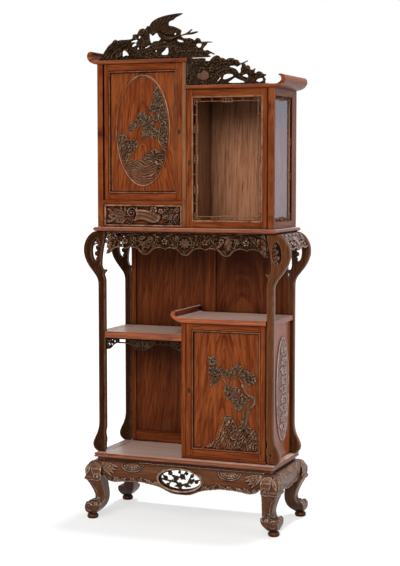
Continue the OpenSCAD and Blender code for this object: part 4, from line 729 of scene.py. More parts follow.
# Size of the even mesh's cells, and where things are, all in millimetres, as the CAD model has them
VOXEL = 2.0
HALF_W = 366.0
FLOOR_X, FLOOR_Y, Z_FLOOR = 377.0, 162.0, 264.0
Z_BAY = 1148.0
POST_X, POST_Y = 338.0, 126.0
FRIEZE_HALF, FRIEZE_H = 337.8, 91.0
LEG_REACH = (406.6, 191.6)
Y_PANEL, PANEL_BACK = -128.5, -8.8


def front_at(x, y, z):
    """Turns places on a carving that looks to the front, with its origin there, into points in metres."""
    return lambda u, v, h: np.stack([u + x, y - h, v + z], 1) * MM


def side_at(x, y, z):
    """The same for a carving that looks to the right."""
    return lambda u, v, h: np.stack([x + h, u + y, v + z], 1) * MM


def stand_in(piece, node, body, material, aside=None):
    """Puts a piece in a node's place; aside is the finish of its faces that look to the left or right."""
    piece.data.materials.append(material)
    if aside:
        piece.data.materials.append(aside)
        for face in piece.data.polygons:
            face.material_index = int(abs(face.normal.x) > 0.75)
    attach(piece, body)
    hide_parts(node)


def corner_name(side, depth):
    return ("front_" if depth < 0 else "back_") + ("right" if side > 0 else "left")


def posts():
    """Sawn posts with pierced scroll heads: u from the shaft's inner face, v from the base's top."""
    height, hole_at = 884.0, (31, 807)
    hole = smooth(hole_at + path("""4,46 16,36 25,14 27,-8 23,-30 12,-42 2,-34 -6,-16 -8,12
            -3,34"""), closed=True)
    leaf = smooth(hole_at + path("""-12,40 2,42 4,30 -2,22 8,18 10,6 4,-2 14,-8 13,-20 5,-24 10,-34 4,-44
            -6,-40 -12,-10"""), closed=True)
    outer = smooth(path("""30,884 54,879 76,860 89,836 94,810 91,786 82,762 68,740 52,720 39,703 32,686
            30,664"""))
    foot = smooth(path("30,122 32,100 39,76 50,53 57,34 54,15 42,3 36,0"))
    heel = smooth(path("9,0 3,10 2,30 0,52 4,76 0,98"))
    for depth in (-1, 1):
        tip = -4 if depth < 0 else 1
        inner = smooth([(0, 672), (1, 694), (6, 712), (tip, 726), (tip + 1, 731),
                        *rows("12,732 17,746 16,776 12,804 7,830 2,856 0,874")])
        outline = np.concatenate([[(0, height)], outer, foot, heel, inner])
        post = Carving(-8, 98, 0, height)
        at, u, v = post.window(outline)
        near = np.minimum(to_outline(u, v, outline), -to_outline(u, v, hole))
        post.put(at, near, np.sqrt(np.clip(1 - (1 - np.clip(near / 4.5, 0, 1)) ** 2, 0, 1)), 4.2)
        # A raised rim runs round the hole and down the neck
        gap = np.abs(-to_outline(u, v, hole) - 4.2)
        post.high[at] += np.where(near > 0, 1.2 * bow(1 - gap / 2.2), 0)
        at, u, v = post.window(leaf)
        near = to_outline(u, v, leaf)
        post.put(at, near, bow(near / 5) * (0.6 + 0.4 * np.cos((v - 0.5 * u) * 0.42) * bow(near / 6)), 3.4)
        # Acanthus on the neck, curling from the inner edge
        post.leaves("""26,712,9,757,13 30,704,3,729,11 34,712,24,758,9 24,690,9,716,9 22,668,14,700,8
                44,720,40,748,8""", 5.6, low=3.2, curl=0.12, veins=4)
        post.bough(path("18,640 22,672 32,700 48,722 66,748 78,778 81,812 74,846 56,868 36,874"),
                   3.0, 2.4, 5.5, low=3.6)
        # The drop-shaped foot with its little eye
        post.bough(path("24,128 28,100 36,74 47,50 50,30 44,12 30,7 14,14 9,40"), 2.6, 2.2, 5.4, low=3.4)
        post.groove(path("17,38 20,41 22,37 18,35"), 4.5, 4.0)
        post.bead(path("14,38 20,46 26,38 20,31"), 2.4, 5.4, True, low=3.6)
        post.trim(to_outline(post.u, post.v, outline) + 0.2)
        for side in (-1, 1):
            def place(u, v, h, side=side, y=depth * POST_Y):
                return np.stack([side * (POST_X + u), y - h, Z_FLOOR + v], 1) * MM
            name = "post_" + corner_name(side, depth)
            # The left posts take the darker copy, as painted shade
            stand_in(post.pierced("carved_" + name, place, 6.0), name, "carcass",
                     dark_up if side > 0 else dark_painted_shade, post_aside)


def sculpted(node, polish, material, carve):
    """A carved copy of a node; carve presses the carvings in, by the copy's places and normals."""
    body = Sculpture(node, polish)
    carve(body, *body.at.T)
    stand_in(body.done("carved_" + node), node, "carcass", material)


def legs():
    """Scroll legs: u is the distance inwards from the corner of the base's top, v the height."""
    knee = Carving(-34, 82, 18, 246)
    # Acanthus spreads down and sideways from the knee's upper corner
    for u, v, width in rows("64,196,17 60,180,17 48,166,17 30,160,16 12,164,15"):
        knee.leaf((2, 226), (u, v), width, 4.2, curl=0.10, veins=4)
    knee.leaf((-6, 218), (-22, 176), 16, 4.2, curl=-0.1, veins=4)
    for k in range(7):
        knee.bead([(10 * k - 10, 222 - k), (10 * k - 3, 218 - 1.2 * k), (10 * k + 2, 222 - 1.1 * k)],
                  4.5, 4.2 * 0.8)
    # The fold that closes the knee, and ribs down to the toe
    knee.bough(path("-29,164 -16,158 4,160 26,158 44,166"), 7, 5, 3.6)
    knee.boughs("3,2.2 -16,148 2,128 12,104 14,84 / 3,2.2 44,146 52,120 50,88 36,58", 1.6)
    # The toe rolls up in a volute under a small leaf
    knee.volute((-10, 45), 17, 6.5, 4.0, sense=-1, start=2.0, turns=1.35, tail=(22, 80))
    knee.bough(path("6,24 26,26 44,38 54,62"), 5, 3, 2.4)
    knee.leaf((24, 46), (14, 88), 15, 3.2, curl=0.15)
    knee.leaf((30, 38), (40, 74), 12, 2.8, curl=-0.1)
    for side, depth in ((-1, -1), (1, -1), (-1, 1), (1, 1)):
        def carve(leg, x, y, z, side=side, depth=depth):
            leg.carve(knee, FLOOR_X - side * x, z, leg.normal[:, 1] * depth)
            leg.carve(knee, FLOOR_Y - depth * y, z, leg.normal[:, 0] * side)
            # The carving stays within the solid's reach
            out = leg.at + leg.normal * leg.lift[:, None]
            over = np.maximum(np.abs(out[:, 0]) - LEG_REACH[0], np.abs(out[:, 1]) - LEG_REACH[1])
            leg.lift -= np.clip(over, 0, None)
        sculpted("leg_" + corner_name(side, depth), 5, dark_leg, carve)


def aprons():
    front = Carving(-340, 340, 118, 236)
    edge = smooth(path("""0,0 0.11,2 0.2,14 0.27,23 0.36,29 0.5,36 0.64,35 0.75,32 0.83,27 0.9,30 0.945,37
            0.965,46 1,50""") * (334.8, 1) + (0, 125), 3)
    for s in (-1, 1):
        front.bead(edge * (s, 1) + (0, 3.5), 5, 3.2)
        # Scrolls and leaves along the lower edge
        for u, v, r, sense, to in rows("""64,146,9,1,40 104,160,8,-1,128 138,168,8,1,116 168,170,8,-1,196
                206,169,9,1,180 240,166,9,-1,268 276,166,10,1,246 302,168,8,-1,316"""):
            front.volute((s * u, v), r, 3.8, 3.4, s * sense, math.pi / 2 + s * sense * 0.4, 1.3,
                         (s * to, v - 6))
        for (u0, v0), (u1, v1) in stems("""84,152,112,172 126,160,152,180 182,164,160,184 222,162,196,180
                256,160,228,178 290,160,262,180 118,156,92,172 190,160,216,180 150,158,126,176
                262,156,286,178"""):
            front.leaf((s * u0, v0), (s * u1, v1), 9, 3.2, curl=0.15 * s)
        # A half-round shell under the upper edge
        for a, b, width, top in ((46, 27, 3.5, 3.2), (36, 20, 2.5, 2.4)):
            turn = np.linspace(0.05, 3.09, 12)
            front.bead(np.stack([s * 204 + a * np.cos(turn), 230 - b * np.sin(turn)], 1), width, top)
        for t in np.linspace(0.3, 2.84, 7):
            front.leaf((s * 204, 231), (s * 204 + 33 * math.cos(t), 230 - 18.5 * math.sin(t)), 9, 3.0)
        # Acanthus comes over from the leg
        for u, v, width in rows("262,218,15 268,204,16 278,190,16 292,178,14"):
            front.leaf((s * 338, 228), (s * u, v), width, 4.2, curl=0.08 * s, veins=5)
    # Ribbed rim around the oval
    rim = Carving(-110, 110, 124, 236)
    for a, b, width, top in ((91.5, 44.5, 7, 3.6), (98, 50, 3, 2.0)):
        rim.bead(oval((0, 186), a, b), width, top, True)

    def carve_front(body, x, y, z):
        facing = -body.normal[:, 1]
        body.carve(front, x, z, facing * (np.hypot(x / 100, (z - 186) / 53) > 1))
        body.carve(rim, x, z, facing * (y < -174))
    sculpted("apron_front", 3, dark_across, carve_front)

    flank = Carving(-122, 122, 140, 236)
    low = smooth(path("0,84 0.25,81 0.45,74 0.62,76 0.82,72 0.94,62 1,60") * (119.8, -1) + (0, 234), 3)
    for s in (-1, 1):
        flank.bead(low * (s, 1) + (0, 3.5), 5, 3.2)
        for u, v, width in rows("62,220,14 60,206,14 68,192,14 82,182,12"):
            flank.leaf((s * 122, 228), (s * u, v), width, 3.8, curl=0.08 * s)
        for u, v, r, sense, to in rows("22,162,9,1,4 50,170,8,-1,70 80,172,7,1,62"):
            flank.volute((s * u, v), r, 3.6, 3.2, s * sense, math.pi / 2, 1.3, (s * to, v - 6))
    for t in np.linspace(0.3, 2.84, 7):
        flank.leaf((0, 231), (30 * math.cos(t), 230 - 20 * math.sin(t)), 9, 3.0)
    sculpted("apron_sides", 3, dark_deep, lambda body, x, y, z: body.carve(
        flank, y, z, np.abs(x) / 400 * np.sign(x) * body.normal[:, 0] * 1.1))


def apron_spray():
    """Flowering branches that fill the oval of the apron, with daylight between them."""
    c = Carving(-92, 92, 142, 230, 1.2)
    a, b, mid = 87.6, 40.6, 186.0
    c.bead(oval((0, mid), a - 2, b - 2), 4.4, 4.0, True)
    # Places are shares of the oval's half width and half height
    for (w0, w1), *points in parts("""6,9 -.93,-.05 -.55,-.2 -.2,-.3 0,-.93 / 8,4 -.3,-.25 -.1,.2 .1,.4 .3,.9
            / 9,4 0,-.6 .3,-.35 .6,-.05 .93,.1 / 7,4 .35,-.3 .45,.2 .62,.66 / 6,4 -.22,0 -.5,.5 -.62,.72
            / 6,4 -.4,-.1 -.6,-.55 -.68,-.68"""):
        c.bough(np.array(points) * (a, b) + (0, mid), w0, w1, 4.5, bark=0.4)
    for u, v, r in rows("""-.72,.05,9 -.5,.55,9 -.62,-.6,8 -.22,.1,11 .08,.3,12 -.05,-.55,12 .28,-.5,9
            .5,-.12,10 .76,-.1,8 .55,.45,8 -.05,.72,6 .3,.62,6"""):
        c.bloom((u * a, mid + v * b), r, 6.0, turn=u * 5, low=1.5)
    for root, end in stems("""-.22,.1,-.36,.42 .5,-.12,.66,.22 .28,-.5,.5,-.62 -.72,.05,-.86,.34
            .08,.3,.24,.02 -.05,-.55,-.32,-.7"""):
        c.leaf((root[0] * a, mid + root[1] * b), (end[0] * a, mid + end[1] * b), 9, 4.5, low=1.0)
    c.trim(to_outline(c.u, c.v, oval((0, mid), a, b)))
    made = c.pierced("carved_apron_spray", front_at(0, -169.0, 0), 1.6, back=-3.0)
    stand_in(made, "apron_spray", "carcass", black_carved)


def flowering(c, outline, left, seed, pitch=23.0):
    """Blossoms and leaves crowded together inside an outline, to the right of the place left."""
    rng = np.random.default_rng(seed)
    for row, v in enumerate(np.arange(pitch * 0.45, outline[:, 1].max(), pitch * 0.82)):
        for u in np.arange(left + (row % 2) * pitch / 2, outline[:, 0].max(), pitch):
            spot = np.array([u + rng.uniform(-3, 3), v + rng.uniform(-3, 3)])
            room = float(to_outline(spot[:1], spot[1:], outline)[0])
            turn, kind = rng.uniform(0, 6.28), rng.random()
            if room < 2.5:
                continue
            if kind < 0.62 and room > 5:
                c.bloom(spot, rng.uniform(9.5, 13.5), rng.uniform(5.0, 8.0), turn=turn, low=0.8)
            for k in range(2):
                angle = turn + k * rng.uniform(1.4, 3.4)
                way = np.array([math.cos(angle), math.sin(angle)])
                c.leaf(spot + 3 * way, spot + rng.uniform(13, 21) * way, rng.uniform(9, 13),
                       rng.uniform(3.4, 6.0), low=0.6, curl=0.15, veins=3)


# Outlines of the crests from the left end of each board's top, and of the bird on the tall one
TALL_CREST = """18,-2 19,14 26,30 36,43 46,56 60,66 68,75 77,79 86,74 98,77 121,77 144,79 150,84 150,93 158,97
        168,96 174,103 180,113 191,118 203,115 208,121 215,127 220,112 220,92 223,67 231,61 241,67 252,68
        261,69 269,77 278,90 340,90 358,78 366,75 378,74 388,75 400,70 408,65 414,71 421,74 430,70 434,61
        446,59 461,59 478,58 478,55 461,54 456,47 448,40 442,31 450,25 461,27 470,23 488,13 487,9 471,13 462,9
        452,11 446,14 444,-2"""
LOW_CREST = """-3,-2 -3,101 30,101 74,101 77,92 95,90 101,97 109,104 123,110 133,107 139,100 149,100 157,95
        163,93 173,98 189,98 197,92 207,91 213,84 217,78 231,81 247,87 248,84 234,78 238,73 243,67 249,70
        256,64 259,54 267,52 278,57 275,47 275,39 283,41 291,46 303,43 309,37 322,33 317,28 313,24 319,17
        316,4 314,-2"""
BIRD = """358,169.5 326,168.5 286,163 254,154 232,142 224,131 218,123 216,110 220,98 227,94 234,88 239,92
        246,97 254,97 261,85 269,77 272,70 276,65 290,62 306,62 321,66 331,71 336,78 351,83 376,87 398,88
        421,95 419,99 401,97 386,95 399,106 394,107 378,96 361,90 350,89 352,97 352,106 336,115 318,122
        302,125 300,135 306,142 318,145 328,153 338,158 352,164"""
ON_TALL_BOARD = front_at(-HALF_W, -127.0, 1815.4)
ON_LOW_BOARD = front_at(9.2, -127.0, 1711.4)


def crest(node, place, reach, outline, boughs, left, seed, blooms, spin, holes, clear, rocks=None):
    """Flowering branches on a board, carved on both faces; clear gives the distance inside its neighbours."""
    c = Carving(*reach, 1.4)
    edge = smooth(path(outline), 4, True)
    c.plate(edge, 1.4, 3)
    if rocks:
        c.rocks(rocks, 8.0, 4, 19)
    c.boughs(boughs, 5.4, bark=0.5, low=1.4)
    flowering(c, edge, left, seed)
    c.blooms(blooms, 8.2, spin=spin, low=0.8)
    c.trim(to_outline(c.u, c.v, edge))
    for hole in parts(holes):
        c.pierce(smooth(hole, 3, True))
    c.trim(np.minimum(c.v + 0.4, clear(c.u, c.v)))
    stand_in(c.pierced("carved_" + node, place, 3.4, spread=5, depth=2.2), node, "carcass",
             black_carved)


def crests():
    bird_edge = smooth(path(BIRD), 3, True)
    crest("crest_tall", ON_TALL_BOARD, (8, 494, 0, 132), TALL_CREST,
          """15,5 140,44 171,30 214,30 250,40 282,46 330,44 404,50 474,57 / 13,10 330,2 342,24 352,44
          / 9,4 380,26 422,24 458,18 486,11 / 9,6 186,34 200,62 190,84 192,104 / 8,6 228,30 262,8 310,8""",
          172, 12, "190,104,12 160,87,8 388,62,12 421,62,10 346,62,9", 0.7,
          """102,20 108,13 116,14 122,17 133,16 130,24 122,32 113,37 104,32 / 178,91 184,86 178,79 172,84
          / 136,65 151,73 170,75 166,65 151,67 / 145,51 151,59 166,63 166,55 154,49
          / 166,40 172,47 178,42 172,37 / 194,44 206,46 220,53 222,49 208,42 / 244,30 248,34 252,30 248,26
          / 268,17 281,30 286,36 294,42 300,36 298,15 / 334,70 351,68 365,61 346,61
          / 414,50 424,53 438,50 432,37 418,41""",
          lambda u, v: -to_outline(u, v, bird_edge) - 0.5,
          "18,-2 19,14 30,36 46,56 60,66 77,78 98,76 130,78 146,72 158,60 152,48 166,38 184,22 206,-2")
    crest("crest_display", ON_LOW_BOARD, (-2, 336, 0, 114), LOW_CREST,
          """14,9 10,2 20,30 14,60 26,86 / 10,7 104,2 112,26 130,46 151,54 181,58 203,40 221,25 241,14
          / 9,5 246,12 262,30 258,52 238,66 / 7,4 266,10 292,26 318,31""", 6, 23,
          """50,86,13 84,82,12 121,93,13 149,86,12 184,86,12 210,82,9 106,58,12 266,43,10 298,32,10
                  66,56,14""", 0.9,
          """43,34 46,46 59,46 66,54 81,51 91,44 92,29 83,21 66,20 51,24 / 125,15 137,27 141,24 130,13
          / 148,21 151,33 157,37 169,39 186,37 191,31 181,26 163,20
          / 172,6 181,15 196,24 206,21 219,15 235,9 231,5
          / 174,66 181,69 196,69 206,65 216,71 223,74 225,66 221,57 221,44 213,41 203,54 191,61
          / 225,31 243,37 251,29 247,24 231,29 / 281,11 289,18 307,20 309,11 296,6""",
          lambda u, v: u - np.where(v > 30, 7.4, 0) + 0.2)


def bird():
    """The alighting bird: quills in rows on both wings, a scaled body and a forked tail."""
    c = Carving(210, 426, 56, 172, 1.2)
    edge = smooth(path(BIRD), 3, True)
    c.plate(edge, 1.2, 4)
    c.leaves("""262,104,354,167,12 262,106,336,166,12 256,106,316,165,12 252,108,296,162,12 248,108,276,158,12
            244,110,256,152,12 240,108,240,146,12 236,106,226,132,12 268,102,340,156,11 272,100,326,150,11
            276,98,312,142,11 280,96,304,132,11 296,92,352,100,10 296,94,350,108,10 294,96,336,114,10
            290,98,320,121,10 286,98,306,124,10""", 5.2, low=1.0, veins=9)
    c.leaves("""250,104,282,138,11 246,106,266,140,11 242,104,246,134,11 256,102,296,132,11 238,102,230,124,10
            286,92,322,104,10""", 7.0, low=2.0, veins=6)
    c.bough(path("238,101 252,100 272,90 296,80 322,78 346,84"), 13, 9, 8.5, low=1.2, bark=0.55)
    c.bough(path("266,84 292,76 318,75"), 20, 10, 9.0, low=1.2, bark=0.5)
    c.boughs("5.5,3.5 330,79 376,90 396,106 / 7,4 330,77 376,88 419,97", 3.4, low=1.0)
    c.bloom((235, 99), 7, 7.5, petals=1, low=2)
    c.trim(to_outline(c.u, c.v, edge))
    c.pierce(oval((328, 92), 4.8, 3.8, 14))
    made = c.pierced("carved_bird", ON_TALL_BOARD, 2.6, spread=4, depth=2.0)
    stand_in(made, "crest_bird", "carcass", black_carved)


def frieze_line():
    """Lower edge of the front frieze, from its left end, of eight lobes that mirror each other."""
    half = smooth(path("0,1 0.12,0.985 0.22,0.92 0.32,0.82 0.45,0.74 0.62,0.7 0.82,0.7 0.93,0.73 1,0.77"), 2)
    mirrored = half[::-1] * (-1, 1) + (1, 0)
    lobes = [(half, mirrored)[k % 2][:-1] + (k, 0) for k in range(-4, 4)]
    return np.concatenate([*lobes, [(4, 1)]]) * (FRIEZE_HALF / 4, -FRIEZE_H)


def lace(c, near, seed, scale=9.0, share=0.47):
    """A thin pierced ground: the region near > 0 with winding holes in it."""
    field = noise(c.u, c.v, scale, seed, 2)
    web = np.minimum((share - field) * scale * 2.2, near)
    c.near = np.maximum(c.near, web)
    c.high = np.where(web > 0, np.maximum(c.high, 2.0 * bow(web / 2.5)), c.high)


def cartouche(c, u):
    """A lobed oval with rays."""
    for t in np.linspace(0.4, 5.9, 9):
        c.leaf((u, -44), (u + 25 * math.cos(t + 1.57), -44 + 22 * math.sin(t + 1.57)), 11, 15, low=5)
    c.bloom((u, -44), 11, 17, petals=8, low=8)
    c.bead(oval((u, -44), 30, 28, 30), 3.6, 11, True)


def leafy_plaque(c, u):
    for (du, dv), (eu, ev) in stems("""-24,-30,8,-22 -22,-52,4,-44 24,-30,2,-40 22,-54,0,-62 -6,-66,6,-36
            14,-18,34,-36"""):
        c.leaf((u + du, dv), (u + eu, ev), 16, 14, low=4, curl=0.12)
    c.bloom((u + 4, -46), 9, 16, low=7)


def wing_and_flower(c, u):
    for j in range(6):
        c.leaf((u + 16 + 2 * j, -18 - 3 * j), (u - 6 + 3 * j, -52 - 5 * j), 9, 14, low=5, curl=-0.2)
    c.bloom((u - 16, -34), 12, 15, low=5)
    c.leaf((u - 16, -40), (u - 34, -58), 12, 12, low=4)


def frieze_front():
    c = Carving(-338, 338, -92, 0, 1.2)
    edge = frieze_line()
    region = to_outline(c.u, c.v, np.concatenate([edge, [(FRIEZE_HALF, 0), (-FRIEZE_HALF, 0)]]))
    lace(c, region, 21)
    c.bead(edge + (0, 2.6), 4.6, 11)
    c.bough([(-338, -3), (0, -3), (338, -3)], 6, 6, 8, steps=2)
    rng = np.random.default_rng(7)
    for k in range(-2, 3):
        u = FRIEZE_HALF / 2 * k
        for s in (-1, 1):
            if abs(u + s * 84) > 345:
                continue
            # C-scrolls on both sides of each lobe, and smaller ones that fill the hollows
            c.volute((u + s * 33, -46), 13, 5.0, 10, sense=-s, start=-1.2 * s + math.pi * (s < 0), turns=1.5,
                     tail=(u + s * 10, -84))
            for du, v, r, width, top, sense, start, turns, to, tv in rows("""26,-20,9,4.2,8,1,1,1.4,46,-8
                    58,-28,12,4.6,9,1,2.4,1.5,34,-60 60,-54,7,3.8,8,-1,.5,1.3,44,-66
                    72,-12,7,3.6,7,-1,.4,1.3,84,-24"""):
                c.volute((u + s * du, v), r, width, top, s * sense, start, turns, tail=(u + s * to, tv))
            for _ in range(5):
                p = (u + s * rng.uniform(14, 78), -rng.uniform(8, 60))
                turn = rng.uniform(0, 6.28)
                c.leaf(p, (p[0] + 17 * math.cos(turn), p[1] + 13 * math.sin(turn)), 8.5, 9.5, low=2.0,
                       curl=0.15)
        if abs(k) == 2:
            for v in (-14, -34, -54, -72):
                c.leaf((u - math.copysign(24, u), v + 12), (u - math.copysign(4, u), v - 14), 14, 11, low=3)
        else:
            (leafy_plaque, cartouche, wing_and_flower)[k + 1](c, u)
            c.bloom((u, -78), 7, 12, low=3)
    for u in (-84.4, 84.4, -253.3, 253.3):
        c.bloom((u, -38), 13, 14, turn=0.9, low=3)
        c.bead(oval((u, -38), 17.5, 16, 24), 3.0, 8, True)
    c.trim(region)
    made = c.pierced("carved_frieze_front", front_at(0, -116.0, Z_BAY - 0.3), 2.6, back=0.8)
    stand_in(made, "frieze_front", "carcass", dark_carved)


def frieze_sides():
    """Pierced frets that follow the curve of the scroll heads from post to post."""
    arc = smooth(path("26,-1 53,-6 74,-25 87,-49 90,-58"), 8)
    run = np.concatenate([[0], np.cumsum(np.hypot(*(arc[1:] - arc[:-1]).T))])
    length = run[-1]
    c = Carving(-115, 115, 0, length + 22, 1.2)

    def hang(u):
        return 10 * bow(1 - np.abs(u) / 26) + 6 * bow(1 - np.abs(np.abs(u) - 76) / 22)
    region = np.minimum(np.minimum(c.v, 115 - np.abs(c.u)), length - 2 + hang(c.u) - c.v)
    lace(c, region, 33, 8.5, 0.45)
    c.trim(region)
    for u in (-92, -46, 0, 46, 92):
        for v in (16, 44):
            for s in (-1, 1):
                c.volute((u + s * 11, v), 9.5, 4.0, 6, s, 1.57 - s * 0.6, 1.4, (u, v + 14))
        c.bloom((u + 23, 31), 8, 7, low=2)
    for s in (-1, 1):
        for t in (0.2, 0.8, 1.4):
            c.leaf((0, 50), (s * 26 * math.cos(t), 52 + 22 * math.sin(t)), 11, 8, low=2)
    c.leaf((0, 46), (0, length + 8), 15, 9, low=3)
    c.bough([(-115, 3), (0, 3), (115, 3)], 6, 6, 5, steps=2)
    places = np.linspace(-114, 114, 60)
    c.bead(np.stack([places, length - 5 + hang(places)], 1), 4.0, 6)
    c.trim(np.minimum(115.2 - np.abs(c.u), c.v + 0.3))
    mid = np.linspace(0, length, 60)
    px, pz = (np.interp(mid, run, values) for values in arc.T)
    slope = np.stack([np.gradient(px, mid), np.gradient(pz, mid)], 1)
    slope /= np.linalg.norm(slope, axis=1, keepdims=True)
    for side in (-1, 1):
        def place(u, v, h, side=side):
            past = np.clip(v - length, 0, None)
            x, z, tx, tz = (np.interp(v, mid, values) for values in (px, pz, *slope.T))
            x = x + tx * past + (h - 7) * -tz
            z = z + tz * past + (h - 7) * tx
            return np.stack([side * (POST_X + x), u, Z_BAY - 0.5 + np.minimum(z, -0.3)], 1) * MM
        piece = c.pierced("carved_frieze_" + ("right" if side > 0 else "left"), place, 1.5, back=-3.0)
        stand_in(piece, "frieze_sides", "carcass", dark_aside)


def shelf_fret():
    """A pierced fret under the shelf; many places are shares of its width."""
    w = 327.6
    c = Carving(0, w, -49, 0, 1.1)
    edge = np.concatenate([
        [(0, 0)], smooth(path("0,-48 .05,-45 .1,-29 .14,-22") * (w, 1)), [(w * .3, -22)],
        smooth(path(".35,-29 .41,-44 .48,-47 .55,-41 .61,-26") * (w, 1)),
        [(w * .65, -22), (w * .84, -22)], smooth(path(".88,-29 .93,-36 1,-48") * (w, 1)), [(w, 0)]])
    region = to_outline(c.u, c.v, edge)
    c.put(np.s_[:], region, bow(region / 2), 1.6)
    for a, b in path(".17,.3 .66,.71 .73,.78 .8,.84") * w:
        c.pierce(np.array([(a, -16.5), (b, -16.5), (b, -6), (a, -6)]))
    for u, v, r in rows(""".035,-14,5 .075,-13,4.5 .035,-28,5 .075,-26,4 .965,-14,5 .93,-14,4 .96,-28,4.5
            .4,-20,5 .48,-17,4 .48,-33,5 .56,-20,5 .11,-15,3.5"""):
        c.pierce(oval((w * u, v), r, r * 1.1, 14))
    c.bead(edge[1:-1] + (0, 1.6), 3.2, 4.0)
    c.bead([(0, -2), (w, -2)], 3.6, 4.0)
    for s, u in ((1, 0.0), (-1, w)):
        c.leaf((u, -6), (u + s * 16, -24), 9, 4.4, low=1.5)
        c.leaf((u, -22), (u + s * 14, -40), 9, 4.4, low=1.5)
        c.volute((u + s * 30, -20), 7, 3.2, 3.6, sense=s, start=2, turns=1.3, tail=(u + s * 14, -10))
    for (du, dv), (eu, ev) in stems("""-30,-12,-6,-34 30,-12,6,-34 -34,-24,-14,-38 34,-24,14,-38
            -12,-8,-26,-28 12,-8,26,-28 0,-10,0,-42"""):
        c.leaf((w * .48 + du, dv), (w * .48 + eu, ev), 10, 5.0, low=1.5, curl=0.1)
    c.trim(region)
    made = c.pierced("carved_shelf_fret", front_at(-337.8, -121.5, 724.6), 2.4, back=-2.0)
    stand_in(made, "shelf_fret", "carcass", black_carved)


def tall_door_panel():
    """Pines that lean over a lake between rocks, in an oval with a double rim."""
    c = Carving(-319.2, -28.8, 1296.6, 1772.4, 1.2, filled=True)
    mid, a, b = (-174.0, 1541.0), 115.6, 216.0
    ring = to_outline(c.u, c.v, oval(mid, a, b, 90))
    ground = np.clip((ring - 9) / 2, 0, 1)
    shore = [(u, min(v, 1436 + 6 * math.sin(u * 0.07))) for u, v in oval(mid, a - 9, b - 9, 90)]
    c.waves(np.array(shore), 3.4, 3, 10)
    c.raised *= 0.75
    c.rocks("""-174,1446 -160,1454 -140,1464 -118,1470 -100,1462 -84,1474 -62,1486 -60,1440 -74,1408 -92,1384
            -106,1374 -112,1390 -122,1410 -140,1418 -160,1420 -172,1428""", 6.2, 11, 12, slope=-0.5)
    c.rocks("""-292,1484 -262,1488 -236,1484 -212,1478 -208,1462 -224,1448 -236,1430 -246,1410 -262,1386
            -282,1400""", 5.4, 15, 12, slope=1.0)
    c.raised *= 0.8
    c.boughs("""7,3.5 -80,1462 -92,1478 -106,1500 -104,1540 -98,1566 -108,1590 -96,1640
            / 5,3 -104,1530 -128,1548 -160,1566 -186,1590 / 4.5,2.5 -98,1570 -128,1584 -156,1590 -188,1606
            / 4,2.5 -104,1600 -126,1616 -150,1626 / 5,3 -98,1500 -84,1486 -72,1480
            / 4,2.5 -276,1478 -262,1496 -240,1504 -206,1490""", 5.4, bark=0.4)
    c.pines("""1.9,8.6 -124,1700 -106,1712 -90,1696 -74,1666 -68,1630 -64,1590 -64,1550 -68,1512 -78,1488
            -92,1496 -104,1512 -114,1530 -112,1552 -96,1566 -100,1588 -116,1606 -112,1632 -128,1642 -132,1668
            / 0.6,8.6 -154,1622 -146,1638 -128,1644 -110,1638 -112,1618 -126,1612 -142,1612
            / -0.7,8.6 -208,1562 -202,1588 -196,1608 -182,1616 -166,1606 -150,1594 -134,1592 -112,1604
            -104,1588 -120,1570 -134,1560 -156,1554 -182,1556
            / -0.8,8.6 -180,1530 -172,1548 -156,1560 -136,1562 -118,1548 -104,1548 -96,1528 -84,1500 -100,1504
            -118,1518 -136,1510 -156,1512 -174,1514
            / -0.2,8.6 -292,1496 -284,1518 -264,1530 -244,1522 -236,1506 -216,1506 -198,1494 -192,1482
            -220,1474 -250,1474 -284,1478
            / 0.2,8.2 -242,1546 -234,1562 -216,1572 -204,1564 -208,1546 -226,1538""", 6.0, 0)
    # Everything keeps inside the rim; the rim itself is a bead and a fine line
    c.high *= ground
    c.raised *= ground
    c.high += 3.0 * bow(1 - np.abs(ring - 2.6) / 3.4) + 1.0 * bow(1 - np.abs(ring - 8.5) / 1.6) - 0.9 * ground
    border = c.within(-312.8, -35.2, 1303.2, 1765.8)
    c.high += 0.8 * bow(1 - np.abs(border - 5.5) / 1.8) - 1.2 * np.clip((4 - border) / 4, 0, 1)
    # The rim is painted pale at the upper right and below as painted highlight, and dark on its other side as
    # painted shade
    toward_light = 0.55 * (c.u - mid[0]) / a + 0.83 * (c.v - mid[1]) / b
    pale = np.clip(np.where(toward_light > 0, 1.5 * toward_light - 0.35, -0.75 * toward_light - 0.1), 0.05, 1)
    c.rub_and_highlight = np.where(ring < 9.5, 1.7 * pale, 1) * np.where(border < 9, 0.3, 1)
    c.stained = 0.3 + 0.7 * c.raised
    made = c.board("carved_tall_door_panel", front_at(0, Y_PANEL, 0), PANEL_BACK)
    stand_in(made, "tall_door_panel", "tall_door", figured)


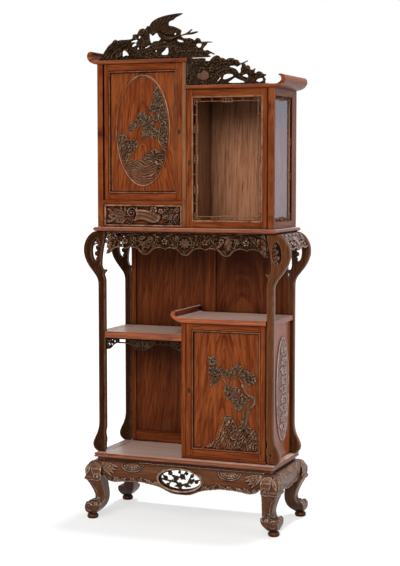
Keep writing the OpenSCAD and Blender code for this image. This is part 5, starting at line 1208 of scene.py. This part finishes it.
def cupboard_door_panel():
    """A bent pine that grows from rocks in the corner by the hinge."""
    c = Carving(30.8, 314.2, 302.8, 771.2, 1.2, filled=True)
    c.rocks("""78,305 96,322 112,334 128,344 140,362 148,388 160,418 178,438 196,434 212,414 222,398 238,430
            254,420 270,404 286,400 298,372 308,352 312,305""", 5.8, 41, 14, slope=0.9)
    c.rocks("196,305 206,336 232,350 258,376 276,396 296,370 312,350 312,305", 6.6, 47, 13, slope=1.1)
    c.raised *= 0.5
    c.boughs("""16,9.5 250,400 255,425 259,450 268,474 282,488 290,500 286,516 266,527 252,540 244,556 240,566
            / 8,5 262,508 272,510 282,512 / 7,5 240,560 236,578 224,590 212,594
            / 8,4 216,592 204,596 196,588 194,570 186,558 176,566 162,582 140,584
            / 7,4 246,412 248,436 244,462 250,486 240,500 / 5,6 206,528 222,520 240,508 256,500
            / 4,3 204,596 196,610 180,606 / 4,2.5 150,588 136,596 126,616 116,640
            / 9,5 250,404 228,386 206,392 / 10,6 254,392 276,380 296,340
            / 7,4 246,400 236,420 228,436""", 6.4, bark=0.8)
    c.pines("""0.5,8.6 98,640 100,660 112,672 128,670 138,656 134,640 120,634
            / 0.4,8.6 104,606 106,626 120,634 138,628 158,626 178,618 194,606 190,596 172,592 160,600 142,592
            120,590 / 0.7,8.6 108,560 112,584 124,596 142,590 138,574 124,556 114,552
            / -0.3,8.6 190,612 200,632 214,644 232,640 244,626 262,620 280,612 294,598 292,580 278,566 262,562
            254,574 246,590 230,604 210,604
            / 0.6,8.6 168,556 182,566 196,556 214,556 228,548 224,530 214,516 196,506 178,504 170,520
            / 0.5,8.6 196,508 216,516 232,508 246,496 244,478 230,464 212,466 202,482
            / 0.9,8.6 232,524 246,530 258,518 262,498 250,484 240,498
            / 0.9,8.6 160,424 172,442 186,446 196,434 184,420 170,412""", 6.2, 20, low=0.4)
    border = c.within(37.2, 307.8, 309.2, 764.8)
    c.rub_and_highlight = np.where(border < 9, 0.3, 1)
    c.high -= 1.4 * np.clip((5 - border) / 5, 0, 1)
    c.stained = 0.3 + 0.7 * c.raised
    made = c.board("carved_cupboard_door_panel", front_at(0, Y_PANEL, 0), PANEL_BACK)
    stand_in(made, "cupboard_door_panel", "cupboard_door", figured_cup)


def cupboard_side():
    """Side panel with a raised oval of flowers on a scaled ground."""
    reach, mid = (-114.8, 114.8, 264, 798, 1.5, True), (10.0, 537.0)
    c, flowers = Carving(*reach), Carving(*reach)
    near = to_outline(c.u, c.v, oval(mid, 75, 205, 90))
    scales = np.abs(np.sin((c.u + c.v) * 0.30)) * np.abs(np.sin((c.u - c.v) * 0.30))
    c.high += np.where(near > 0, 7.0 * bow(near / 50) + scales * np.clip((near - 10) / 4, 0, 1), 0)
    c.high += 4.5 * bow(1 - np.abs(near - 3.6) / 3.8) + 1.4 * bow(1 - np.abs(near - 11) / 1.8)
    flowers.bough(path("2,360 24,410 -6,470 28,530 -4,590 22,650 4,706"), 8, 4, 3.4, bark=0.4)
    for k in range(-4, 5):
        s = 1 if k % 2 == 0 else -1
        u, v = mid[0] + s * 17, mid[1] + 37 * k
        flowers.bloom((u, v), 15, 4.2, turn=k, petals=6, low=1)
        for t in (0.7, 2.2, 3.8, 5.3):
            flowers.leaf((u, v), (u - s * 8 + 27 * math.cos(t), v + 25 * math.sin(t)), 12, 3.2, low=0.6,
                         curl=0.1)
        u, v = mid[0] - s * 26, v + 6
        flowers.bloom((u, v), 11, 4.2, turn=k * 0.7, low=1)
        for t in (1.2, 3.1, 4.9):
            flowers.leaf((u, v), (u + 22 * math.cos(t), v + 20 * math.sin(t)), 9, 3.4, low=0.6, curl=-0.1)
    c.high = np.minimum(c.high + flowers.high * (near > 14), 11.8)
    c.raised = np.clip(near / 2, 0, 1)
    made = c.board("carved_cupboard_side", side_at(353.0, 0, 0), -12.0)
    stand_in(made, "cupboard_side", "carcass", side_carved)


def drawer_front():
    """A broad ribbon among flowers, with a lattice of rings at the right."""
    reach = (-341.8, -6.2, 1165.2, 1255.8)
    c, relief = (Carving(*reach, 1.1, filled=True) for _ in range(2))
    border = c.within(*reach)
    ground = np.clip((border - 8) / 4, 0, 1)
    c.high -= 5.0 * ground * ground * (3 - 2 * ground)
    c.high += 0.8 * bow(1 - np.abs(border - 6) / 2)
    # The ribbon, with flutes along it
    ribbon = smooth(path("""-208,1234 -186,1236 -152,1233 -127,1222 -106,1216 -99,1206 -104,1189 -118,1181
            -134,1180 -150,1185 -165,1190 -181,1192 -199,1190 -214,1186 -209,1200 -204,1218"""), 4, True)
    at, u, v = relief.window(ribbon)
    near = to_outline(u, v, ribbon)
    sweep = v - 1210 + 0.0042 * (u + 190) ** 2 * np.where(u > -190, 1, 0)
    relief.put(at, near, bow(near / 6) * (0.80 + 0.20 * np.abs(np.sin(sweep * 0.21))), 6.4)
    relief.volute((-222, 1222), 21, 7, 6.8, sense=1, start=0.2, turns=1.6, tail=(-200, 1240))
    relief.volute((-230, 1188), 12, 5, 6.0, sense=-1, start=0.6, turns=1.3, tail=(-208, 1190))
    relief.volute((-112, 1204), 13, 4.5, 7.0, sense=-1, start=1.2, turns=1.2, tail=(-140, 1222))
    relief.bloom((-128, 1232), 16, 6.8, low=2)
    relief.blooms("-98,1228,11 -290,1228,9 -312,1208,9 -284,1190,8 -322,1188,7", 6.0, low=1.5)
    relief.leaves("""-244,1214,-300,1240,15 -250,1210,-322,1222,16 -250,1204,-318,1198,15
            -244,1198,-292,1180,15 -262,1226,-268,1248,12 -282,1208,-326,1180,12 -246,1222,-250,1246,11
            -262,1196,-262,1172,10 -298,1218,-328,1240,11""", 5.6, low=0.8, curl=0.12)
    relief.bough(path("-236,1210 -270,1208 -304,1212 -326,1208"), 5, 3, 5.0)
    # Ring lattice and leaves at the right
    for u, v, r in rows("""-80,1218,10 -79,1191,10 -74,1237,8 -60,1205,9 -52,1226,10 -50,1188,10 -32,1206,10
            -30,1234,9 -28,1184,8"""):
        relief.bead(oval((u, v), r, r, 26), 3.4, 5.2, True)
        relief.bloom((u, v), r * 0.5, 4.6)
    for root, end in stems("""-92,1200,-66,1214 -66,1196,-40,1218 -44,1200,-24,1220 -90,1222,-64,1240
            -40,1230,-22,1244 -70,1180,-44,1174"""):
        relief.leaf(root, end, 10, 5.0, low=0.6, curl=0.15)
    c.high += relief.high * ground
    c.raised = relief.raised * ground
    made = c.board("carved_drawer_front", front_at(0, -135.0, 0), -18.0, spread=5, depth=2.0)
    stand_in(made, "drawer_front", "drawer", drawer_wood)


def corners(node):
    """A node's lowest and highest corners, in millimetres."""
    return (np.array(corner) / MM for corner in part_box(node))


def trim_piece(piece, body, material):
    """A thin piece of its own, which stands for no node."""
    piece.data.materials.append(material)
    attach(piece, body)


def moulding(body, inner, y, width=6.0, top=2.7, worn=0.6):
    """A worn bead that runs round an opening in a frame, mitred at the corners."""
    x0, z0, x1, z1 = inner
    turn = np.linspace(0, np.pi, 9)
    off = np.concatenate([width / 2 * (1 - np.cos(turn)), [width - 0.4, 0.4]])
    high = np.concatenate([top * np.sin(turn) ** 0.8, [-0.6, -0.6]])
    points = [(x0 - o if i in (0, 3) else x1 + o, y - h, z0 - o if i < 2 else z1 + o)
              for o, h in zip(off, high) for i in range(4)]
    n = len(off)
    faces = [(k * 4 + i, k * 4 + (i + 1) % 4, (k + 1) % n * 4 + (i + 1) % 4, (k + 1) % n * 4 + i)
             for k in range(n) for i in range(4)]
    # The crown is painted paler and the flanks darker, for wear and old polish and as painted highlight and
    # shade
    crown = np.repeat(np.concatenate([np.sin(turn) ** 2, [0, 0]]), 4)
    tones = [(1 - crown) * 0.9, crown * worn, crown * 0]
    piece = build("moulding_" + body, np.array(points) * MM, faces, tones, 60)
    trim_piece(piece, body, red_mould)


def keyhole(body, x, y, z):
    """A thin oval plate let in round the keyhole, dark with age."""
    c = Carving(-7, 7, -13, 13, 0.6)
    c.put(np.s_[:], to_outline(c.u, c.v, oval((0, 0), 5.5, 11, 30)), 0.5)
    c.pierce(oval((0, 2), 2.4, 2.4, 16))
    c.pierce(path("-1.1,2 1.1,2 1.1,-7 -1.1,-7"))
    trim_piece(c.pierced("keyhole_" + body, front_at(x, y, z), 0.1, back=-0.3), body, old_plate)


def door_trims():
    """Mouldings and keyholes of the doors, with each keyhole's height over the board below its door."""
    stile, rail, rebate, lock_in = 29, 32, 3, 13
    for body, below, height in (("tall_door", "carrying_board", 371), ("glazed_door", "carrying_board", 253),
                                ("cupboard_door", "floor_frame", 270)):
        low, high = corners(body + "_frame")
        inner = (low[0] + stile, low[2] + rail, high[0] - stile, high[2] - rail)
        moulding(body, inner, low[1] + rebate, *((9.0, 2.9, 1.2) if body == "glazed_door" else ()))
        keyhole(body, high[0] - lock_in if body == "tall_door" else low[0] + lock_in, low[1],
                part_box(below)[1][2] / MM + height)


def window_fret(node, body, w, h, place, clusters):
    """Pierced key fret in a window: a thin bar with loops at its corners and in the middle of its sides."""
    c = Carving(0, w, 0, h, 1.1)
    m, top, wide = 12.5, 3.0, w > 150
    gap = 21 if wide else 14

    def bar(*points, width=3.0):
        c.bead(points, width, top)

    def loop(u, v, a, b):
        c.bead(oval((u, v), a, b, 20), 2.6, top, True)
    for su, sv in ((0, 0), (1, 0), (0, 1), (1, 1)):
        def at(u, v, su=su, sv=sv):
            return (w - u if su else u), (h - v if sv else v)
        loop(*at(m + 7.5, m - 5.5), 6.5, 5.2)
        loop(*at(m - 5.5, m + 7.5), 5.2, 6.5)
        loop(*at(6.5, 6.5), 4.4, 4.4)
        bar(at(0, 6.5), at(2.5, 6.5))
        bar(at(6.5, 0), at(6.5, 2.5))
        bar(at(m + 1, m - 2), at(m + 3.5, m + 3.5), at(m - 2, m + 1), width=2.6)
    for v, edge, inner in ((m, 0, m + 3), (h - m, h, h - m - 3)):
        bar((m + 13, v), (w / 2 - gap, v))
        bar((w - m - 13, v), (w / 2 + gap, v))
        bar((w / 2 - gap, v), (w / 2 - gap + 4, inner), (w / 2 + gap - 4, inner), (w / 2 + gap, v))
        for k in (-1, 0, 1):
            loop(w / 2 + k * gap * 0.6, (inner + edge) / 2, gap * 0.29, abs(inner - edge) / 2 - 0.5)
        for share in ((0.27, 0.73) if wide else ()):
            bar((w * share, v), (w * share, edge))
    for u, edge, inner in ((m, 0, m + 3), (w - m, w, w - m - 3)):
        stops = [m + 13] + [h * share + s * 17 for share in clusters for s in (-1, 1)] + [h - m - 13]
        for a, b in zip(stops[::2], stops[1::2]):
            bar((u, a), (u, b))
            bar((u, (a + b) / 2), (edge, (a + b) / 2))
        for share in clusters:
            v = h * share
            bar((u, v - 17), (inner, v - 13), (inner, v + 13), (u, v + 17))
            for k in (-1, 0, 1):
                loop((inner + edge) / 2, v + 10 * k, abs(inner - edge) / 2 - 0.5, 4.9)
    c.trim(c.within(0, w, 0, h) + 0.3)
    stand_in(c.pierced("carved_" + node, place, 2.0, back=-1.5), node, body, fret_wood)


def window_frets():
    face = 5.2
    low, high = corners("glazed_door_fret")
    window_fret("glazed_door_fret", "glazed_door", high[0] - low[0], high[2] - low[2],
                front_at(low[0], low[1] + face, low[2]), (0.25, 0.5, 0.75))
    low, high = corners("display_side_fret")
    window_fret("display_side_fret", "carcass", high[1] - low[1], high[2] - low[2],
                side_at(high[0] - face, low[1], low[2]), (0.36, 0.64))


def paint(material, *names):
    for name in names:
        slots = nodes[name].data.materials
        slots.clear()
        slots.append(material)


def eased(width, *names):
    """Edges worn round by hand."""
    for name in names:
        bevel = nodes[name].modifiers.new("eased_edges", "BEVEL")
        bevel.width = width * MM
        bevel.segments = 3
        bevel.limit_method = "ANGLE"
        bevel.angle_limit = math.radians(35)
        bevel.harden_normals = True


def stage():
    """A white floor that keeps the soft shadow, and a world that is white to the eye and dim as a light."""
    net = Net(bpy.data.materials.new("floor_white"))
    paper = net.node("BsdfDiffuse", Color=FLOOR_PAPER)
    glow = net.node("Emission", Color=(1, 1, 1, 1), Strength=net.seen() * FLOOR_GLOW)
    bpy.ops.mesh.primitive_plane_add(size=60)
    floor = bpy.context.object
    floor.name = "floor"
    floor.data.materials.append(net.finish(net.node("AddShader", _0=paper, _1=glow)))

    net = Net(bpy.data.worlds.new("studio"))
    level = net.out(0, "MapRange", Value=net.seen(), To_Min=WORLD_LIGHT, To_Max=1.0)
    bpy.context.scene.world = net.finish(net.node("Background", Color=(1, 1, 1, 1), Strength=level), "World")


def sun(name, toward, strength, spread, colour):
    """Light that falls evenly from afar, so that the floor is as bright everywhere."""
    data = bpy.data.lights.new(name, "SUN")
    data.energy = strength
    data.angle = math.radians(spread)
    data.color = colour
    add(name, data).rotation_euler = Vector(toward).to_track_quat("-Z", "Y").to_euler()


def camera():
    """The photograph's own camera, worked out from the cabinets' straight edges."""
    data = bpy.data.cameras.new("photo_camera")
    data.sensor_width = SENSOR
    data.lens = LENS
    made = add("photo_camera", data)
    made.location = CAMERA_AT
    made.rotation_euler = (math.radians(90 - LOOKS_DOWN), 0, math.radians(LOOKS_LEFT))
    bpy.context.scene.camera = made


# The camera's sensor and lens in millimetres, its place in metres and its turns in degrees
SENSOR, LENS = 36, 87.98
CAMERA_AT = (2.0343, -5.0708, 1.3919)
LOOKS_DOWN, LOOKS_LEFT = 4.7118, 21.7281
# The floor's own colour and its glow to the eye, and the light of the world on the object
FLOOR_PAPER, FLOOR_GLOW = (0.38, 0.38, 0.38, 1), 0.62
WORLD_LIGHT = 0.24
DOORS = ("tall_door", "glazed_door", "cupboard_door")
DOOR_FRAMES = [door + "_frame" for door in DOORS]

camera()
sun("key_above", (-0.05, -0.16, -1.0), 2.6, 6, (0.97, 0.97, 1.0))
sun("soft_front", (-0.10, 1.0, -0.50), 2.8, 36, (1.0, 0.98, 0.95))
sun("fill_right", (-1.0, 0.10, -0.35), 1.1, 50, (0.97, 0.96, 1.0))
stage()
for node in DOOR_FRAMES:
    paint(door_wood("red_wood_" + node, node), node)
paint(door_wood("red_wood_back_frame", "lower_back_frame", 20, 46), "lower_back_frame")
paint(side_frame, "tall_side_frame", "display_side_frame")
paint(red_up, "cupboard_wall")
paint(dark_inside, "divider")
paint(red_side, "tall_side_panel")
paint(red_across, "drawer_deck", "cupboard_sill")
paint(red_top, "floor_frame", "carrying_board", "shelf_frame", "floor_panel", "shelf_panel")
paint(red_high_top, "tall_top", "display_top")
paint(red_low_top, "cupboard_top")
paint(figured_back, "lower_back_panels", "tall_back")
paint(pale_back, "display_back")
paint(dark_up, "foot_pads")
paint(dark_across, "apron_back", "waist_rails")
paint(plain_wood, "drawer_runners", "drawer_box", "drawer_bottom")
paint(glass, "glazed_door_glass")
paint(side_glass, "display_side_glass")
paint(brass, *[door + "_fittings" for door in DOORS])
paint(steel, *[door + "_bolt" for door in DOORS])
eased(1.6, *DOOR_FRAMES)
eased(1.0, "tall_side_frame", "display_side_frame", "divider", "cupboard_wall", "shelf_frame",
      "lower_back_frame", "drawer_deck", "cupboard_sill")
eased(0.7, "tall_top", "display_top", "cupboard_top")
door_trims()
window_frets()
legs()
aprons()
apron_spray()
posts()
shelf_fret()
frieze_front()
frieze_sides()
crests()
bird()
tall_door_panel()
cupboard_door_panel()
cupboard_side()
drawer_front()
bpy.context.scene.view_settings.view_transform = "Standard"
